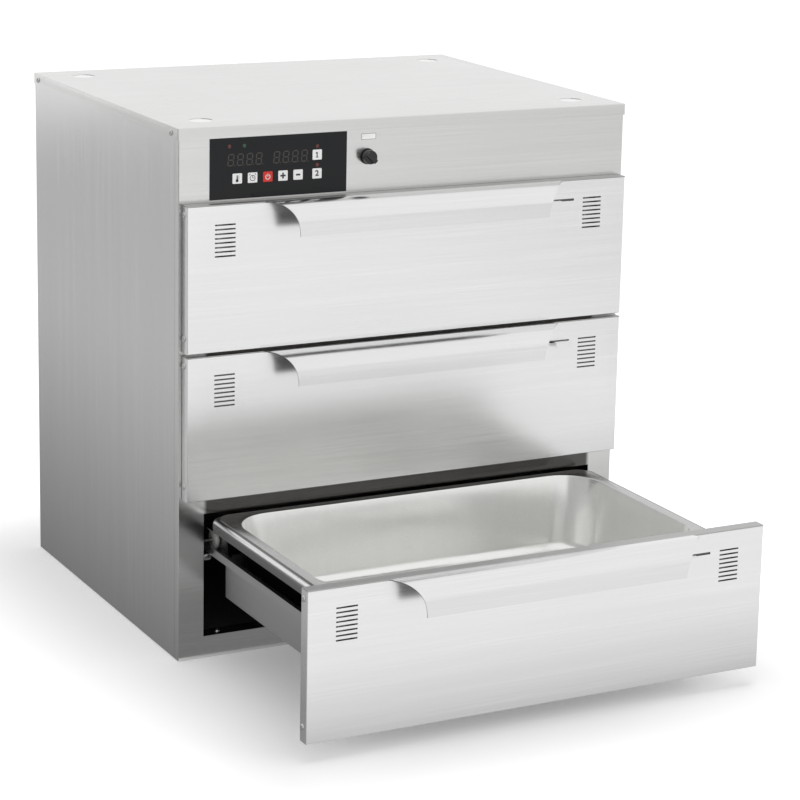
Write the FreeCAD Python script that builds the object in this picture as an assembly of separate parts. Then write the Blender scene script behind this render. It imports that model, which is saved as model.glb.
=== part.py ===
import FreeCAD, Part
import math
import os

# Food warmer cabinet with three drawers for full-size gastronorm pans, in millimetres.
# The origin is the middle of the cabinet's footprint, on the surface that it stands on.
# +X is the right-hand side seen from the front, +Y points to the back and +Z up.

Vector = FreeCAD.Vector
along_x = Vector(1, 0, 0)
along_y = Vector(0, 1, 0)
along_z = Vector(0, 0, 1)

# Sheet metal and the room between pieces
sheet = 1.2
liner_sheet = 1.0
bend_radius = 1.0
sliding_gap = 0.3
running_gap = 0.1
cutter_reach = 5.0

# Cabinet outside, which is built round the pan
fascia_height = 92.0
column_width = 34.0
rear_room = 163.0
frame_side_return = 11.6
frame_opening_return = 24.0
side_seam = 0.4
lid_lip = 14.5
lid_mark_radius = 15.0
lid_mark_depth = 0.6
lid_mark_inset_x = 50.0
lid_mark_inset_y = 51.0
rear_flange = 15.0
base_lip = 15.0
base_lip_setback = 40.0
side_tongue = 8.0
rear_insulation = 38.0
top_insulation = 16.0

# Drawer fronts
drawer_count = 3
front_height = 182.0
front_depth = 16.0
front_side_inset = 4.5
front_gap = 4.0
front_clearance = 1.0
lowest_front = 24.0
opening_above_front_foot = 4.5
opening_below_front_top = 18.0
front_lip_depth = 12.0
shown_carrier_gap = 6.0

# Vents in the drawer fronts and the plate that shuts them
vent_rows = 8
vent_pitch = 5.5
vent_slot_length = 27.0
vent_slot_height = 2.0
vent_side_inset = 35.5
vent_top_drop = 25.0
shutter_sheet = 1.0
shutter_margin = 5.0
shutter_slot_length = 20.0
shutter_travel = 22.0
shutter_guide_lip = 4.0
tab_width = 24.0
tab_reach = 9.5
tab_fall = 8.0
tab_corner = 3.0
tab_drop = 26.0
tab_slot_height = 3.0
tab_slot_side_inset = 76.0

# Handle hoods
hood_side_inset = 102.1
hood_reach = 37.0
hood_radius = 24.0
hood_rise = 2.0
hood_drop = 39.0
hood_tuck = 0.8
hood_end_inset = 30.0

# Pans and the frames that carry them
pan_length = 530.0
pan_width = 325.0
pan_rim = 12.5
pan_sheet = 1.0
pan_depth = 100.0
pan_taper = 9.0
pan_corner = 52.0
pan_rim_corner = 20.0
pan_floor_radius = 14.0
pan_front_setback = 13.5
rim_below_front_top = 19.5
carrier_land = 8.0
carrier_side_gap = 3.0
carrier_height = 14.5
carrier_margin = 3.5
carrier_corner = 18.0
carrier_edge_radius = 6.0
carrier_foot_return = 12.0
carrier_hole_gap = 1.0
tongue_width = 22.5
tongue_length = 17.0

# Drawer runners
runner_sheet = 1.5
runner_below_front_top = 71.0
runner_height = 10.0
runner_flange = 17.5
runner_side_gap = 8.0
runner_rear_gap = 20.0
apron_inset = 8.0
apron_height = 47.0
apron_length = 316.0
apron_tab = 24.0
apron_tab_rise = 6.5
upright_length = 28.0

# Rollers and their guides
guide_sheet = 1.5
guide_lip_gap = 0.8
rear_roller_radius = 9.0
rear_roller_width = 5.0
rear_axle_radius = 2.5
rear_axle_setback = 6.0
roller_side_gap = 0.5
support_roller_radius = 5.0
support_roller_width = 10.0
support_roller_setback = 8.0
hold_roller_radius = 12.0
hold_roller_width = 5.0
hold_roller_round = 1.0
hold_roller_setback = 13.5
pin_radius = 2.25
pin_head_radius = 3.75
pin_head_length = 1.2
pin_collar_radius = 3.0

# Heating
heater_tube_radius = 4.0
heater_half_width = 190.0
heater_loop_height = 60.0
heater_bend_radius = 15.0
heater_standoff = 22.0
heater_terminal_spacing = 60.0
heater_terminal_length = 30.0
heater_flange_radius = 9.0
heater_flange_thickness = 2.0
heater_below_front_top = 91.0
probe_radius = 3.0
probe_length = 60.0
probe_side_offset = 120.0
probe_below_heater = 60.0
probe_nut_radius = 7.0
probe_nut_length = 4.0

# Control panel
membrane_width = 182.0
membrane_height = 75.0
membrane_side_inset = 40.0
membrane_thickness = 0.8
window_margin = 6.0
key_size = 12.5
key_corner = 1.2
key_hole_gap = 0.2
key_flange = 1.0
key_proud = 0.3
key_travel = 0.5
key_stem = 4.0
key_first_offset = 35.7
key_pitch = 20.15
key_row_height = 24.7
zone_key_offset = 141.8
zone_key_spacing = 23.2
display_width = 49.2
display_height = 21.0
display_first_offset = 20.8
display_second_offset = 81.2
display_foot_height = 37.5
display_setback = 2.0
lamp_radius = 2.5
lamp_proud = 0.2
lamp_row_height = 64.3
lamp_first_offset = 25.0
lamp_second_offset = 44.6
zone_lamp_rise = 10.5
board_setback = 9.0
board_thickness = 1.6
board_post_radius = 2.4
switch_size = 6.0
transformer_length = 48.0
transformer_height = 40.0
transformer_depth = 36.0

# Fuse holder
fuse_side_inset = 250.0
fuse_below_lid = 47.5
fuse_flange_radius = 10.0
fuse_flange_thickness = 2.0
fuse_body_radius = 7.0
fuse_body_length = 34.0
fuse_nut_radius = 11.0
fuse_nut_length = 4.0
fuse_cap_radius = 8.6
fuse_cap_length = 10.0
fuse_cap_round = 0.5
fuse_grip_length = 4.0
fuse_grip_width = 6.0
fuse_grip_angle = 45.0
fuse_stem_radius = 4.5
fuse_stem_length = 20.0

# Cable gland at the back
gland_side_offset = 200.0
gland_below_lid = 45.0
gland_radius = 11.0
gland_length = 18.0
gland_round = 2.0
gland_thread_radius = 8.0
gland_thread_length = 12.0
gland_bore_radius = 4.0
gland_nut_radius = 13.0
gland_nut_length = 4.0

# Ventilation slots at the back of the control space
louvre_rows = 6
louvre_pitch = 9.0
louvre_length = 90.0
louvre_height = 3.0
louvre_below_lid = 25.0

# Pan-head screws
screw_radius = 2.0
screw_head_radius = 3.7
screw_head_height = 2.2
screw_head_round = 0.9
screw_length = 7.0
front_screw_setback = 6.0
front_screw_top_drop = 12.0
front_screw_foot_rise = 18.0
lid_screw_drop = 8.0
lid_screw_front_setback = 20.5
lid_screw_rear_setback = 15.0
floor_screw_inset = 24.0
floor_screw_setback = 13.0
rear_screw_inset = 8.0
rear_screw_foot_rise = 60.0
rear_screw_top_drop = 70.0

# Levels and planes that follow from the sizes above
body_width = pan_length + 2 * (carrier_land + carrier_side_gap + column_width)
carrier_setback = pan_front_setback + pan_width + carrier_margin
body_depth = carrier_setback + rear_room
shown_opening = carrier_setback + shown_carrier_gap
face = -body_depth / 2
back = body_depth / 2
half_body = body_width / 2
front_pitch = front_height + front_gap
body_height = lowest_front + drawer_count * front_height + (drawer_count - 1) * front_gap + fascia_height
lid_under = body_height - sheet
opening_half = half_body - column_width
liner_half = opening_half + sheet
liner_floor = lowest_front + opening_above_front_foot - sheet
top_front_foot = lowest_front + (drawer_count - 1) * front_pitch
liner_ceiling = top_front_foot + front_height - opening_below_front_top + sheet
liner_front = face + sheet
liner_rear = back - 2 * sheet - rear_insulation - liner_sheet
insulation_half = half_body - rear_flange - sliding_gap
front_half = half_body - front_side_inset
front_rear_y = face - front_clearance
front_face_y = front_rear_y - front_depth
carrier_half = opening_half - carrier_side_gap
carrier_rear_y = face + carrier_setback
hood_half_width = front_half - hood_side_inset
runner_half = opening_half - runner_side_gap
runner_rear_y = liner_rear - runner_rear_gap
vent_outer_x = front_half - vent_side_inset
tab_slot_length = tab_width + shutter_travel + 2 * running_gap + 2 * sliding_gap
tab_slot_right = front_half - tab_slot_side_inset
membrane_left = membrane_side_inset - half_body
membrane_top = body_height - lid_lip
membrane_foot = membrane_top - membrane_height
board_front_y = face + board_setback


def box(x0, x1, y0, y1, z0, z1):
    """Block between two opposite corners."""
    return Part.makeBox(x1 - x0, y1 - y0, z1 - z0, Vector(x0, y0, z0))


def rod(radius, start, end):
    """Round bar from one point to another."""
    axis = end.sub(start)
    return Part.makeCylinder(radius, axis.Length, start, axis)


def joined(shapes):
    """One solid made of touching or overlapping shapes."""
    whole = shapes[0].fuse(shapes[1:])
    return whole.removeSplitter()


def mirrored(shape):
    """The same piece for the other side of the cabinet."""
    return shape.mirror(Vector(0, 0, 0), along_x)


def pair(shape):
    """A piece and its mirror image, as a list."""
    return [shape, mirrored(shape)]


def save(name, shapes):
    """Write a node's solid, or its group of separate solids."""
    solids = [solid for shape in shapes for solid in shape.Solids]
    content = solids[0] if len(solids) == 1 else Part.makeCompound(solids)
    content.exportStep("parts/" + name + ".step")


def straight_edges(shape, axis, keep):
    """Straight edges along an axis whose middle passes the test."""
    chosen = []
    for edge in shape.Edges:
        if not isinstance(edge.Curve, Part.Line):
            continue
        direction = edge.Vertexes[-1].Point.sub(edge.Vertexes[0].Point)
        if direction.cross(axis).Length < 1e-6 and keep(edge.CenterOfMass):
            chosen.append(edge)
    return chosen


def rounded_wire(half_x, y0, y1, radius, z):
    """Closed outline of a rectangle with round corners at one height."""
    low = y0 + radius
    high = y1 - radius
    side = half_x - radius
    corners = ((side, high), (-side, high), (-side, low), (side, low))
    edges = []
    previous = None
    first = None
    for quarter, (x, y) in enumerate(corners):
        points = []
        for turn in (0, 0.5, 1):
            angle = (quarter + turn) * math.pi / 2
            points.append(Vector(x + radius * math.cos(angle), y + radius * math.sin(angle), z))
        if previous is not None:
            edges.append(Part.LineSegment(previous, points[0]).toShape())
        else:
            first = points[0]
        edges.append(Part.Arc(points[0], points[1], points[2]).toShape())
        previous = points[2]
    edges.append(Part.LineSegment(previous, first).toShape())
    return Part.Wire(edges)


def rounded_block(half_x, y0, y1, radius, z0, z1):
    """Upright block with round corners."""
    return Part.Face(rounded_wire(half_x, y0, y1, radius, z0)).extrude(Vector(0, 0, z1 - z0))


def tapered_block(half_x, y0, y1, radius, taper, z0, z1):
    """Block with round corners that narrows by the taper on every side towards its foot."""
    foot = rounded_wire(half_x - taper, y0 + taper, y1 - taper, radius - taper / 2, z0)
    head = rounded_wire(half_x, y0, y1, radius, z1)
    return Part.makeLoft([foot, head], True, True)


def hexagon(radius, start, length):
    """Hexagonal bar along +Y, sized across its corners."""
    points = []
    for step in range(7):
        angle = step * math.pi / 3
        points.append(start.add(Vector(radius * math.cos(angle), 0, radius * math.sin(angle))))
    return Part.Face(Part.makePolygon(points)).extrude(Vector(0, length, 0))


def bent_tube(points, bend, radius):
    """Tube along straight runs joined by tangent arcs."""
    edges = []
    start = points[0]
    for before, corner, after in zip(points, points[1:], points[2:]):
        entry = corner.add(before.sub(corner).normalize().multiply(bend))
        leave = corner.add(after.sub(corner).normalize().multiply(bend))
        inward = before.sub(corner).normalize().add(after.sub(corner).normalize())
        middle = corner.add(inward.multiply(bend * (1 - math.sqrt(0.5))))
        edges.append(Part.LineSegment(start, entry).toShape())
        edges.append(Part.Arc(entry, middle, leave).toShape())
        start = leave
    edges.append(Part.LineSegment(start, points[-1]).toShape())
    path = Part.Wire(edges)
    section = Part.Wire([Part.Circle(points[0], points[1].sub(points[0]), radius).toShape()])
    return path.makePipeShell([section], True, False)


def pan_head_screw(seat, inward):
    """Screw whose head stands on the seat and whose shank runs inward."""
    direction = Vector(inward).normalize()
    top = seat.sub(Vector(direction).multiply(screw_head_height))
    head = Part.makeCylinder(screw_head_radius, screw_head_height, top, direction)
    rim = [edge for edge in head.Edges if edge.CenterOfMass.sub(top).Length < 1e-6]
    head = head.makeFillet(screw_head_round, rim)
    shank = Part.makeCylinder(screw_radius, screw_length, seat, direction)
    return joined([head, shank])


def screw_hole(seat, inward):
    """Clearance hole for one screw, longer than its shank on both sides."""
    direction = Vector(inward).normalize()
    start = seat.sub(Vector(direction).multiply(screw_head_height))
    return Part.makeCylinder(screw_radius + running_gap, screw_length + 2 * screw_head_height, start, direction)


# Screws of the cabinet, each as its seat and the direction of its shank
lid_screw_z = body_height - lid_screw_drop
lid_outer_x = half_body + sliding_gap + sheet
cabinet_seats = []
for side in (-1, 1):
    for y in (face + lid_screw_front_setback, back - lid_screw_rear_setback):
        cabinet_seats.append((Vector(side * lid_outer_x, y, lid_screw_z), Vector(-side, 0, 0)))
    floor_seat = Vector(side * (opening_half - floor_screw_inset), face + floor_screw_setback,
                        lowest_front + opening_above_front_foot)
    cabinet_seats.append((floor_seat, Vector(0, 0, -1)))
    low_z = rear_screw_foot_rise
    high_z = body_height - rear_screw_top_drop
    for z in (low_z, (low_z + high_z) / 2, high_z):
        rear_seat = Vector(side * (half_body - rear_screw_inset), back, z)
        cabinet_seats.append((rear_seat, Vector(0, -1, 0)))
cabinet_holes = [screw_hole(seat, inward) for seat, inward in cabinet_seats]
cabinet_screws = [pan_head_screw(seat, inward) for seat, inward in cabinet_seats]


def opening_levels(foot):
    """Lower and upper edge of the cabinet opening behind the front that stands at a height."""
    return foot + opening_above_front_foot, foot + front_height - opening_below_front_top


front_feet = [lowest_front + step * front_pitch for step in range(drawer_count)]


def make_lid():
    """Top sheet folded down on all four sides, with four shallow round marks."""
    outer_x = lid_outer_x
    front_y = face - sliding_gap - sheet
    rear_y = back + sliding_gap + sheet
    lid = box(-outer_x, outer_x, front_y, rear_y, body_height - lid_lip, body_height)
    upright = straight_edges(lid, along_z, lambda point: True)
    rim = [edge for edge in lid.Edges if abs(edge.CenterOfMass.z - body_height) < 1e-6]
    lid = lid.makeFillet(bend_radius, upright + rim)
    hollow = box(-outer_x + sheet, outer_x - sheet, front_y + sheet, rear_y - sheet,
                 body_height - lid_lip - cutter_reach, lid_under)
    marks = []
    for x in (-half_body + lid_mark_inset_x, half_body - lid_mark_inset_x):
        for y in (face + lid_mark_inset_y, back - lid_mark_inset_y):
            foot = Vector(x, y, body_height - lid_mark_depth)
            marks.append(Part.makeCylinder(lid_mark_radius, cutter_reach, foot, along_z))
    return lid.cut([hollow] + marks + cabinet_holes)


def make_side_panel():
    """Right-hand side sheet, with a tongue behind the face frame and a flange at the back."""
    front_y = face + frame_side_return + side_seam
    rear_y = back - sheet
    skin = box(half_body - sheet, half_body, front_y, rear_y, 0, lid_under)
    tongue = box(half_body - 2 * sheet, half_body - sheet, liner_front + sliding_gap,
                 front_y + side_tongue, base_lip + sheet, lid_under)
    flange = box(half_body - rear_flange, half_body - sheet, rear_y - sheet, rear_y, sheet, lid_under)
    return joined([skin, tongue, flange]).cut(cabinet_holes)


def make_rear_panel():
    """Flat back sheet with louvre slots and the hole for the cable gland."""
    panel = box(-half_body, half_body, back - sheet, back, 0, lid_under)
    cuts = list(cabinet_holes)
    for row in range(louvre_rows):
        z = lid_under - louvre_below_lid - row * louvre_pitch
        cuts.append(box(-louvre_length / 2, louvre_length / 2, back - sheet - cutter_reach,
                        back + cutter_reach, z - louvre_height, z))
    centre = Vector(gland_side_offset, back - sheet - cutter_reach, body_height - gland_below_lid)
    cuts.append(Part.makeCylinder(gland_thread_radius + running_gap, sheet + 2 * cutter_reach, centre, along_y))
    return panel.cut(cuts)


def make_base_panel():
    """Bottom sheet with a lip turned up against each side panel."""
    floor_sheet = box(-half_body + sheet, half_body - sheet, liner_front, back - 2 * sheet, 0, sheet)
    lip = box(half_body - 2 * sheet, half_body - sheet, face + base_lip_setback,
              back - base_lip_setback, 0, base_lip)
    return joined([floor_sheet] + pair(lip))


def make_face_frame():
    """Front frame, welded edge to edge: two column channels, base rail, dividers and fascia."""
    collar_y = face + frame_opening_return
    strip = box(opening_half, half_body, face, face + sheet, 0, lid_under)
    side_return = box(half_body - sheet, half_body, face, face + frame_side_return, 0, lid_under)
    inner_return = box(opening_half, liner_half, face, collar_y, liner_floor, liner_ceiling)
    column = joined([strip, side_return, inner_return])
    corner = straight_edges(column, along_z, lambda point: point.x > half_body - sheet / 2
                            and point.y < face + sheet / 2)
    column = column.makeFillet(bend_radius, corner)
    rails = []
    rail_foot = 0
    for foot in front_feet:
        low, high = opening_levels(foot)
        rail = [box(-opening_half, opening_half, face, face + sheet, rail_foot, low),
                box(-opening_half, opening_half, face, collar_y, low - sheet, low)]
        if rail_foot > 0:
            rail.append(box(-opening_half, opening_half, face, collar_y, rail_foot, rail_foot + sheet))
        rails.append(joined(rail))
        rail_foot = high
    fascia_return = box(-opening_half, opening_half, face + sheet, collar_y, rail_foot, rail_foot + sheet)
    window = box(membrane_left + window_margin, membrane_left + membrane_width - window_margin,
                 face - cutter_reach, face + cutter_reach,
                 membrane_foot + window_margin, membrane_top - window_margin)
    fuse_hole = rod(fuse_body_radius + running_gap, fuse_point(-cutter_reach), fuse_point(cutter_reach))
    fascia = box(-opening_half, opening_half, face, face + sheet, rail_foot, lid_under)
    pieces = pair(column) + rails + [fascia_return, fascia.cut([window, fuse_hole])]
    return [piece.cut(cabinet_holes) for piece in pieces]


def make_liner_panels():
    """Five flat walls of the heated space, edge to edge."""
    outer_x = liner_half + liner_sheet
    floor_sheet = box(-outer_x, outer_x, liner_front, liner_rear, liner_floor - liner_sheet, liner_floor)
    ceiling = box(-outer_x, outer_x, liner_front, liner_rear, liner_ceiling, liner_ceiling + liner_sheet)
    wall = box(liner_half, outer_x, liner_front, liner_rear, liner_floor, liner_ceiling)
    rear = box(-outer_x, outer_x, liner_rear, liner_rear + liner_sheet,
               liner_floor - liner_sheet, liner_ceiling + liner_sheet)
    return [floor_sheet.cut(cabinet_holes), ceiling, rear.cut(rear_wall_holes())] + pair(wall)


def make_insulation_slabs():
    """Stiff wool slabs at the sides, the back, below and above the heated space."""
    inner_x = liner_half + liner_sheet
    rear_y = liner_rear + liner_sheet
    low_z = liner_floor - liner_sheet
    high_z = liner_ceiling + liner_sheet
    side = box(inner_x, half_body - 2 * sheet, liner_front, rear_y, low_z, high_z)
    back_slab = box(-insulation_half, insulation_half, rear_y, back - 2 * sheet, sheet, high_z)
    under = box(-half_body + 2 * sheet, half_body - 2 * sheet, liner_front, rear_y, sheet, low_z)
    over = box(-insulation_half, insulation_half, board_front_y + board_thickness + transformer_depth
               + 2 * sliding_gap, back - 2 * sheet, high_z, high_z + top_insulation)
    collar_room = [box(-liner_half, liner_half, face, face + frame_opening_return,
                       opening_levels(foot)[0] - sheet, opening_levels(foot)[1] + sheet)
                   for foot in front_feet]
    cuts = cabinet_holes + rear_wall_holes() + collar_room
    return [slab.cut(cuts) for slab in pair(side) + [back_slab, under, over]]


def runner_level(foot):
    """Underside of a drawer's runners."""
    return foot + front_height - runner_below_front_top


def make_guide_rails():
    """One channel on the liner wall for each side of each drawer, open towards the middle."""
    rails = []
    for foot in front_feet:
        centre = runner_level(foot) + runner_height / 2
        inside = rear_roller_radius + sliding_gap
        front_y = face + frame_opening_return + front_clearance
        lip_x = runner_half + guide_lip_gap
        channel = box(lip_x, liner_half, front_y, liner_rear,
                      centre - inside - guide_sheet, centre + inside + guide_sheet)
        hollow = box(lip_x - cutter_reach, liner_half - guide_sheet, front_y - cutter_reach,
                     liner_rear + cutter_reach, centre - inside, centre + inside)
        rails += pair(channel.cut(hollow))
    return rails


def support_axis(foot):
    """Height of the axis of the rollers below the runners."""
    return runner_level(foot) - sliding_gap - support_roller_radius


def hold_axis(foot):
    """Height of the axis of the rollers on top of the runners' flanges."""
    return runner_level(foot) + runner_sheet + sliding_gap + hold_roller_radius


hold_roller_x = runner_half - runner_flange + runner_sheet + pin_head_length + 2 * sliding_gap
support_roller_x = opening_half - roller_side_gap - support_roller_width


def make_support_rollers(foot):
    """Small rollers that the runners rest on, just behind the columns."""
    y = face + support_roller_setback
    z = support_axis(foot)
    start = Vector(support_roller_x, y, z)
    end = Vector(support_roller_x + support_roller_width, y, z)
    roller = rod(support_roller_radius, start, end).cut(rod(pin_radius + running_gap, start, end))
    return pair(roller)


def make_hold_rollers(foot):
    """Larger nylon rollers that stop an open drawer from tipping."""
    y = face + hold_roller_setback
    z = hold_axis(foot)
    start = Vector(hold_roller_x, y, z)
    end = Vector(hold_roller_x + hold_roller_width, y, z)
    roller = rod(hold_roller_radius, start, end)
    rims = [edge for edge in roller.Edges if isinstance(edge.Curve, Part.Circle)]
    roller = roller.makeFillet(hold_roller_round, rims)
    return pair(roller.cut(rod(pin_radius + running_gap, start, end)))


def make_roller_pins():
    """Pins welded to the face frame's returns, with a head beyond each roller."""
    pins = []
    for foot in front_feet:
        for y, z, roller_x, width in (
                (face + support_roller_setback, support_axis(foot), support_roller_x, support_roller_width),
                (face + hold_roller_setback, hold_axis(foot), hold_roller_x, hold_roller_width)):
            head_x = roller_x - sliding_gap
            shank = rod(pin_radius, Vector(head_x, y, z), Vector(opening_half, y, z))
            head = rod(pin_head_radius, Vector(head_x - pin_head_length, y, z), Vector(head_x, y, z))
            pieces = [shank, head]
            collar_x = roller_x + width + sliding_gap
            if opening_half - collar_x > pin_head_length:
                pieces.append(rod(pin_collar_radius, Vector(collar_x, y, z),
                                  Vector(collar_x + pin_head_length, y, z)))
            pins += pair(joined(pieces))
    return pins


def heater_level(foot):
    """Height of a heating element's lower run."""
    return foot + front_height - heater_below_front_top


def heater_terminals(foot):
    """Points where the two ends of an element go through the rear wall."""
    z = heater_level(foot)
    return [Vector(side * heater_terminal_spacing / 2, liner_rear, z) for side in (-1, 1)]


def make_heater_elements():
    """One looped tube for each drawer, on flanges on the rear wall."""
    elements = []
    for foot in front_feet:
        left, right = heater_terminals(foot)
        y = liner_rear - heater_standoff
        low = left.z
        high = low + heater_loop_height
        end_y = liner_rear + liner_sheet + heater_terminal_length
        points = [Vector(left.x, end_y, low), Vector(left.x, y, low),
                  Vector(-heater_half_width, y, low), Vector(-heater_half_width, y, high),
                  Vector(heater_half_width, y, high), Vector(heater_half_width, y, low),
                  Vector(right.x, y, low), Vector(right.x, end_y, low)]
        pieces = [bent_tube(points, heater_bend_radius, heater_tube_radius)]
        for terminal in (left, right):
            pieces.append(rod(heater_flange_radius, terminal.sub(Vector(0, heater_flange_thickness, 0)),
                              terminal))
        elements.append(joined(pieces))
    return elements


def probe_point(offset):
    """Point on the temperature probe's axis, behind the liner's rear wall by the offset."""
    z = heater_level(lowest_front + front_pitch) - probe_below_heater
    return Vector(probe_side_offset, liner_rear + offset, z)


def make_temperature_probe():
    """Sensor rod through the rear wall, with its nut on the inside."""
    stem = rod(probe_radius, probe_point(-probe_length), probe_point(liner_sheet + heater_terminal_length))
    nut = hexagon(probe_nut_radius, probe_point(-probe_nut_length), probe_nut_length)
    return joined([stem, nut])


def rear_wall_holes():
    """Holes in the rear wall and the wool for the elements' ends and the probe."""
    reach = rear_insulation + cutter_reach
    holes = [rod(probe_radius + running_gap, probe_point(-liner_sheet), probe_point(reach))]
    for foot in front_feet:
        for terminal in heater_terminals(foot):
            start = terminal.sub(Vector(0, liner_sheet, 0))
            holes.append(rod(heater_tube_radius + running_gap, start, terminal.add(Vector(0, reach, 0))))
    return holes


def fuse_point(offset):
    """Point on the fuse holder's axis, behind the fascia's face by the offset."""
    return Vector(fuse_side_inset - half_body, face + offset, body_height - fuse_below_lid)


def make_fuse_holder():
    """Socket through the fascia with its flange in front and its nut behind."""
    flange = rod(fuse_flange_radius, fuse_point(-fuse_flange_thickness), fuse_point(0))
    barrel = rod(fuse_body_radius, fuse_point(-fuse_flange_thickness), fuse_point(fuse_body_length))
    nut = hexagon(fuse_nut_radius, fuse_point(sheet), fuse_nut_length)
    bore = rod(fuse_stem_radius + running_gap, fuse_point(-fuse_flange_thickness - cutter_reach),
               fuse_point(fuse_stem_length + sliding_gap))
    return joined([flange, barrel, nut]).cut(bore)


def make_fuse_cap():
    """Turned cap with a raised grip bar across its front and a stem in the socket."""
    seat = -fuse_flange_thickness - sliding_gap
    stem = rod(fuse_stem_radius, fuse_point(seat), fuse_point(fuse_stem_length))
    cap = rod(fuse_cap_radius, fuse_point(seat - fuse_cap_length), fuse_point(seat))
    rim = [edge for edge in cap.Edges if abs(edge.CenterOfMass.y - face - seat + fuse_cap_length) < 1e-6]
    cap = cap.makeFillet(fuse_cap_round, rim)
    centre = fuse_point(seat - fuse_cap_length - fuse_grip_length)
    grip_room = rod(fuse_cap_radius - fuse_cap_round, centre, fuse_point(seat - fuse_cap_length))
    bar = box(centre.x - fuse_cap_radius, centre.x + fuse_cap_radius, centre.y,
              centre.y + fuse_grip_length, centre.z - fuse_grip_width / 2, centre.z + fuse_grip_width / 2)
    bar.rotate(centre, along_y, fuse_grip_angle)
    return joined([stem, cap, bar.common(grip_room)])


def key_places():
    """Name, X and Z of each key's middle."""
    row_z = membrane_foot + key_row_height
    names = ("key_temperature", "key_timer", "key_power", "key_plus", "key_minus")
    places = [(name, membrane_left + key_first_offset + step * key_pitch, row_z)
              for step, name in enumerate(names)]
    zone_x = membrane_left + zone_key_offset
    places.append(("key_zone_2", zone_x, row_z))
    places.append(("key_zone_1", zone_x, row_z + zone_key_spacing))
    return places


def lamp_places():
    """X and Z of each indicator lamp's middle."""
    row_z = membrane_foot + lamp_row_height
    zone_x = membrane_left + zone_key_offset
    zone_z = membrane_foot + key_row_height + zone_lamp_rise
    return [(membrane_left + lamp_first_offset, row_z), (membrane_left + lamp_second_offset, row_z),
            (zone_x, zone_z + zone_key_spacing), (zone_x, zone_z)]


def square_block(x, z, size, y0, y1):
    """Block of square section along Y, round one middle line."""
    return box(x - size / 2, x + size / 2, y0, y1, z - size / 2, z + size / 2)


def round_square(block, radius):
    """The block with its edges along Y rounded."""
    return block.makeFillet(radius, straight_edges(block, along_y, lambda point: True))


def make_membrane_panel():
    """Thin front film with holes for the keys and the lamps."""
    film = box(membrane_left, membrane_left + membrane_width, face - membrane_thickness, face,
               membrane_foot, membrane_top)
    cuts = []
    for name, x, z in key_places():
        hole = square_block(x, z, key_size + 2 * key_hole_gap, face - cutter_reach, face + cutter_reach)
        cuts.append(round_square(hole, key_corner + key_hole_gap))
    for x, z in lamp_places():
        cuts.append(rod(lamp_radius + running_gap, Vector(x, face - cutter_reach, z),
                        Vector(x, face + cutter_reach, z)))
    return film.cut(cuts)


def make_key(x, z):
    """Square cap with a wider back flange and a stem towards its switch."""
    front_y = face - membrane_thickness - key_proud
    flange_y = face + running_gap
    cap = round_square(square_block(x, z, key_size, front_y, flange_y + key_flange), key_corner)
    flange = square_block(x, z, key_size + 2 * key_flange, flange_y, flange_y + key_flange)
    switch_y = board_front_y - switch_size / 2
    stem = square_block(x, z, key_stem, flange_y, switch_y - key_travel - running_gap)
    return joined([cap, flange, stem])


def make_indicator_lamps():
    """Four lamps that stand on the board and reach through the film."""
    front_y = face - membrane_thickness - lamp_proud
    return [rod(lamp_radius, Vector(x, front_y, z), Vector(x, board_front_y, z)) for x, z in lamp_places()]


def make_control_board():
    """Board on four posts, with two display modules, key switches and the transformer."""
    edge = window_margin / 2
    left = membrane_left
    right = left + membrane_width
    rear_y = board_front_y + board_thickness
    pieces = [box(left, right, board_front_y, rear_y, membrane_foot, membrane_top)]
    for x in (left + edge, right - edge):
        for z in (membrane_foot + edge, membrane_top - edge):
            pieces.append(rod(board_post_radius, Vector(x, face + sheet, z), Vector(x, board_front_y, z)))
    for offset in (display_first_offset, display_second_offset):
        x = left + offset
        z = membrane_foot + display_foot_height
        pieces.append(box(x, x + display_width, face + display_setback, board_front_y, z, z + display_height))
    for name, x, z in key_places():
        pieces.append(square_block(x, z, switch_size, board_front_y - switch_size / 2, board_front_y))
    middle_x = (left + right) / 2
    middle_z = (membrane_foot + membrane_top) / 2
    pieces.append(box(middle_x - transformer_length / 2, middle_x + transformer_length / 2, rear_y,
                      rear_y + transformer_depth, middle_z - transformer_height / 2,
                      middle_z + transformer_height / 2))
    return joined(pieces)


def make_cable_gland():
    """Gland in the rear panel, with its nut inside and a clear bore."""
    x = gland_side_offset
    z = body_height - gland_below_lid
    dome = rod(gland_radius, Vector(x, back, z), Vector(x, back + gland_length, z))
    rim = [edge for edge in dome.Edges if abs(edge.CenterOfMass.y - back - gland_length) < 1e-6]
    dome = dome.makeFillet(gland_round, rim)
    thread = rod(gland_thread_radius, Vector(x, back - sheet - gland_thread_length, z), Vector(x, back, z))
    nut = hexagon(gland_nut_radius, Vector(x, back - sheet - gland_nut_length, z), gland_nut_length)
    bore = rod(gland_bore_radius, Vector(x, back - sheet - gland_thread_length - cutter_reach, z),
               Vector(x, back + gland_length + cutter_reach, z))
    return joined([dome, thread, nut]).cut(bore)


def front_screw_seats(foot):
    """Seats of the four screws in the side flanges of a drawer front."""
    y = front_rear_y - front_screw_setback
    seats = []
    for side in (-1, 1):
        for z in (foot + front_screw_foot_rise, foot + front_height - front_screw_top_drop):
            seats.append((Vector(side * front_half, y, z), Vector(-side, 0, 0)))
    return seats


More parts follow.
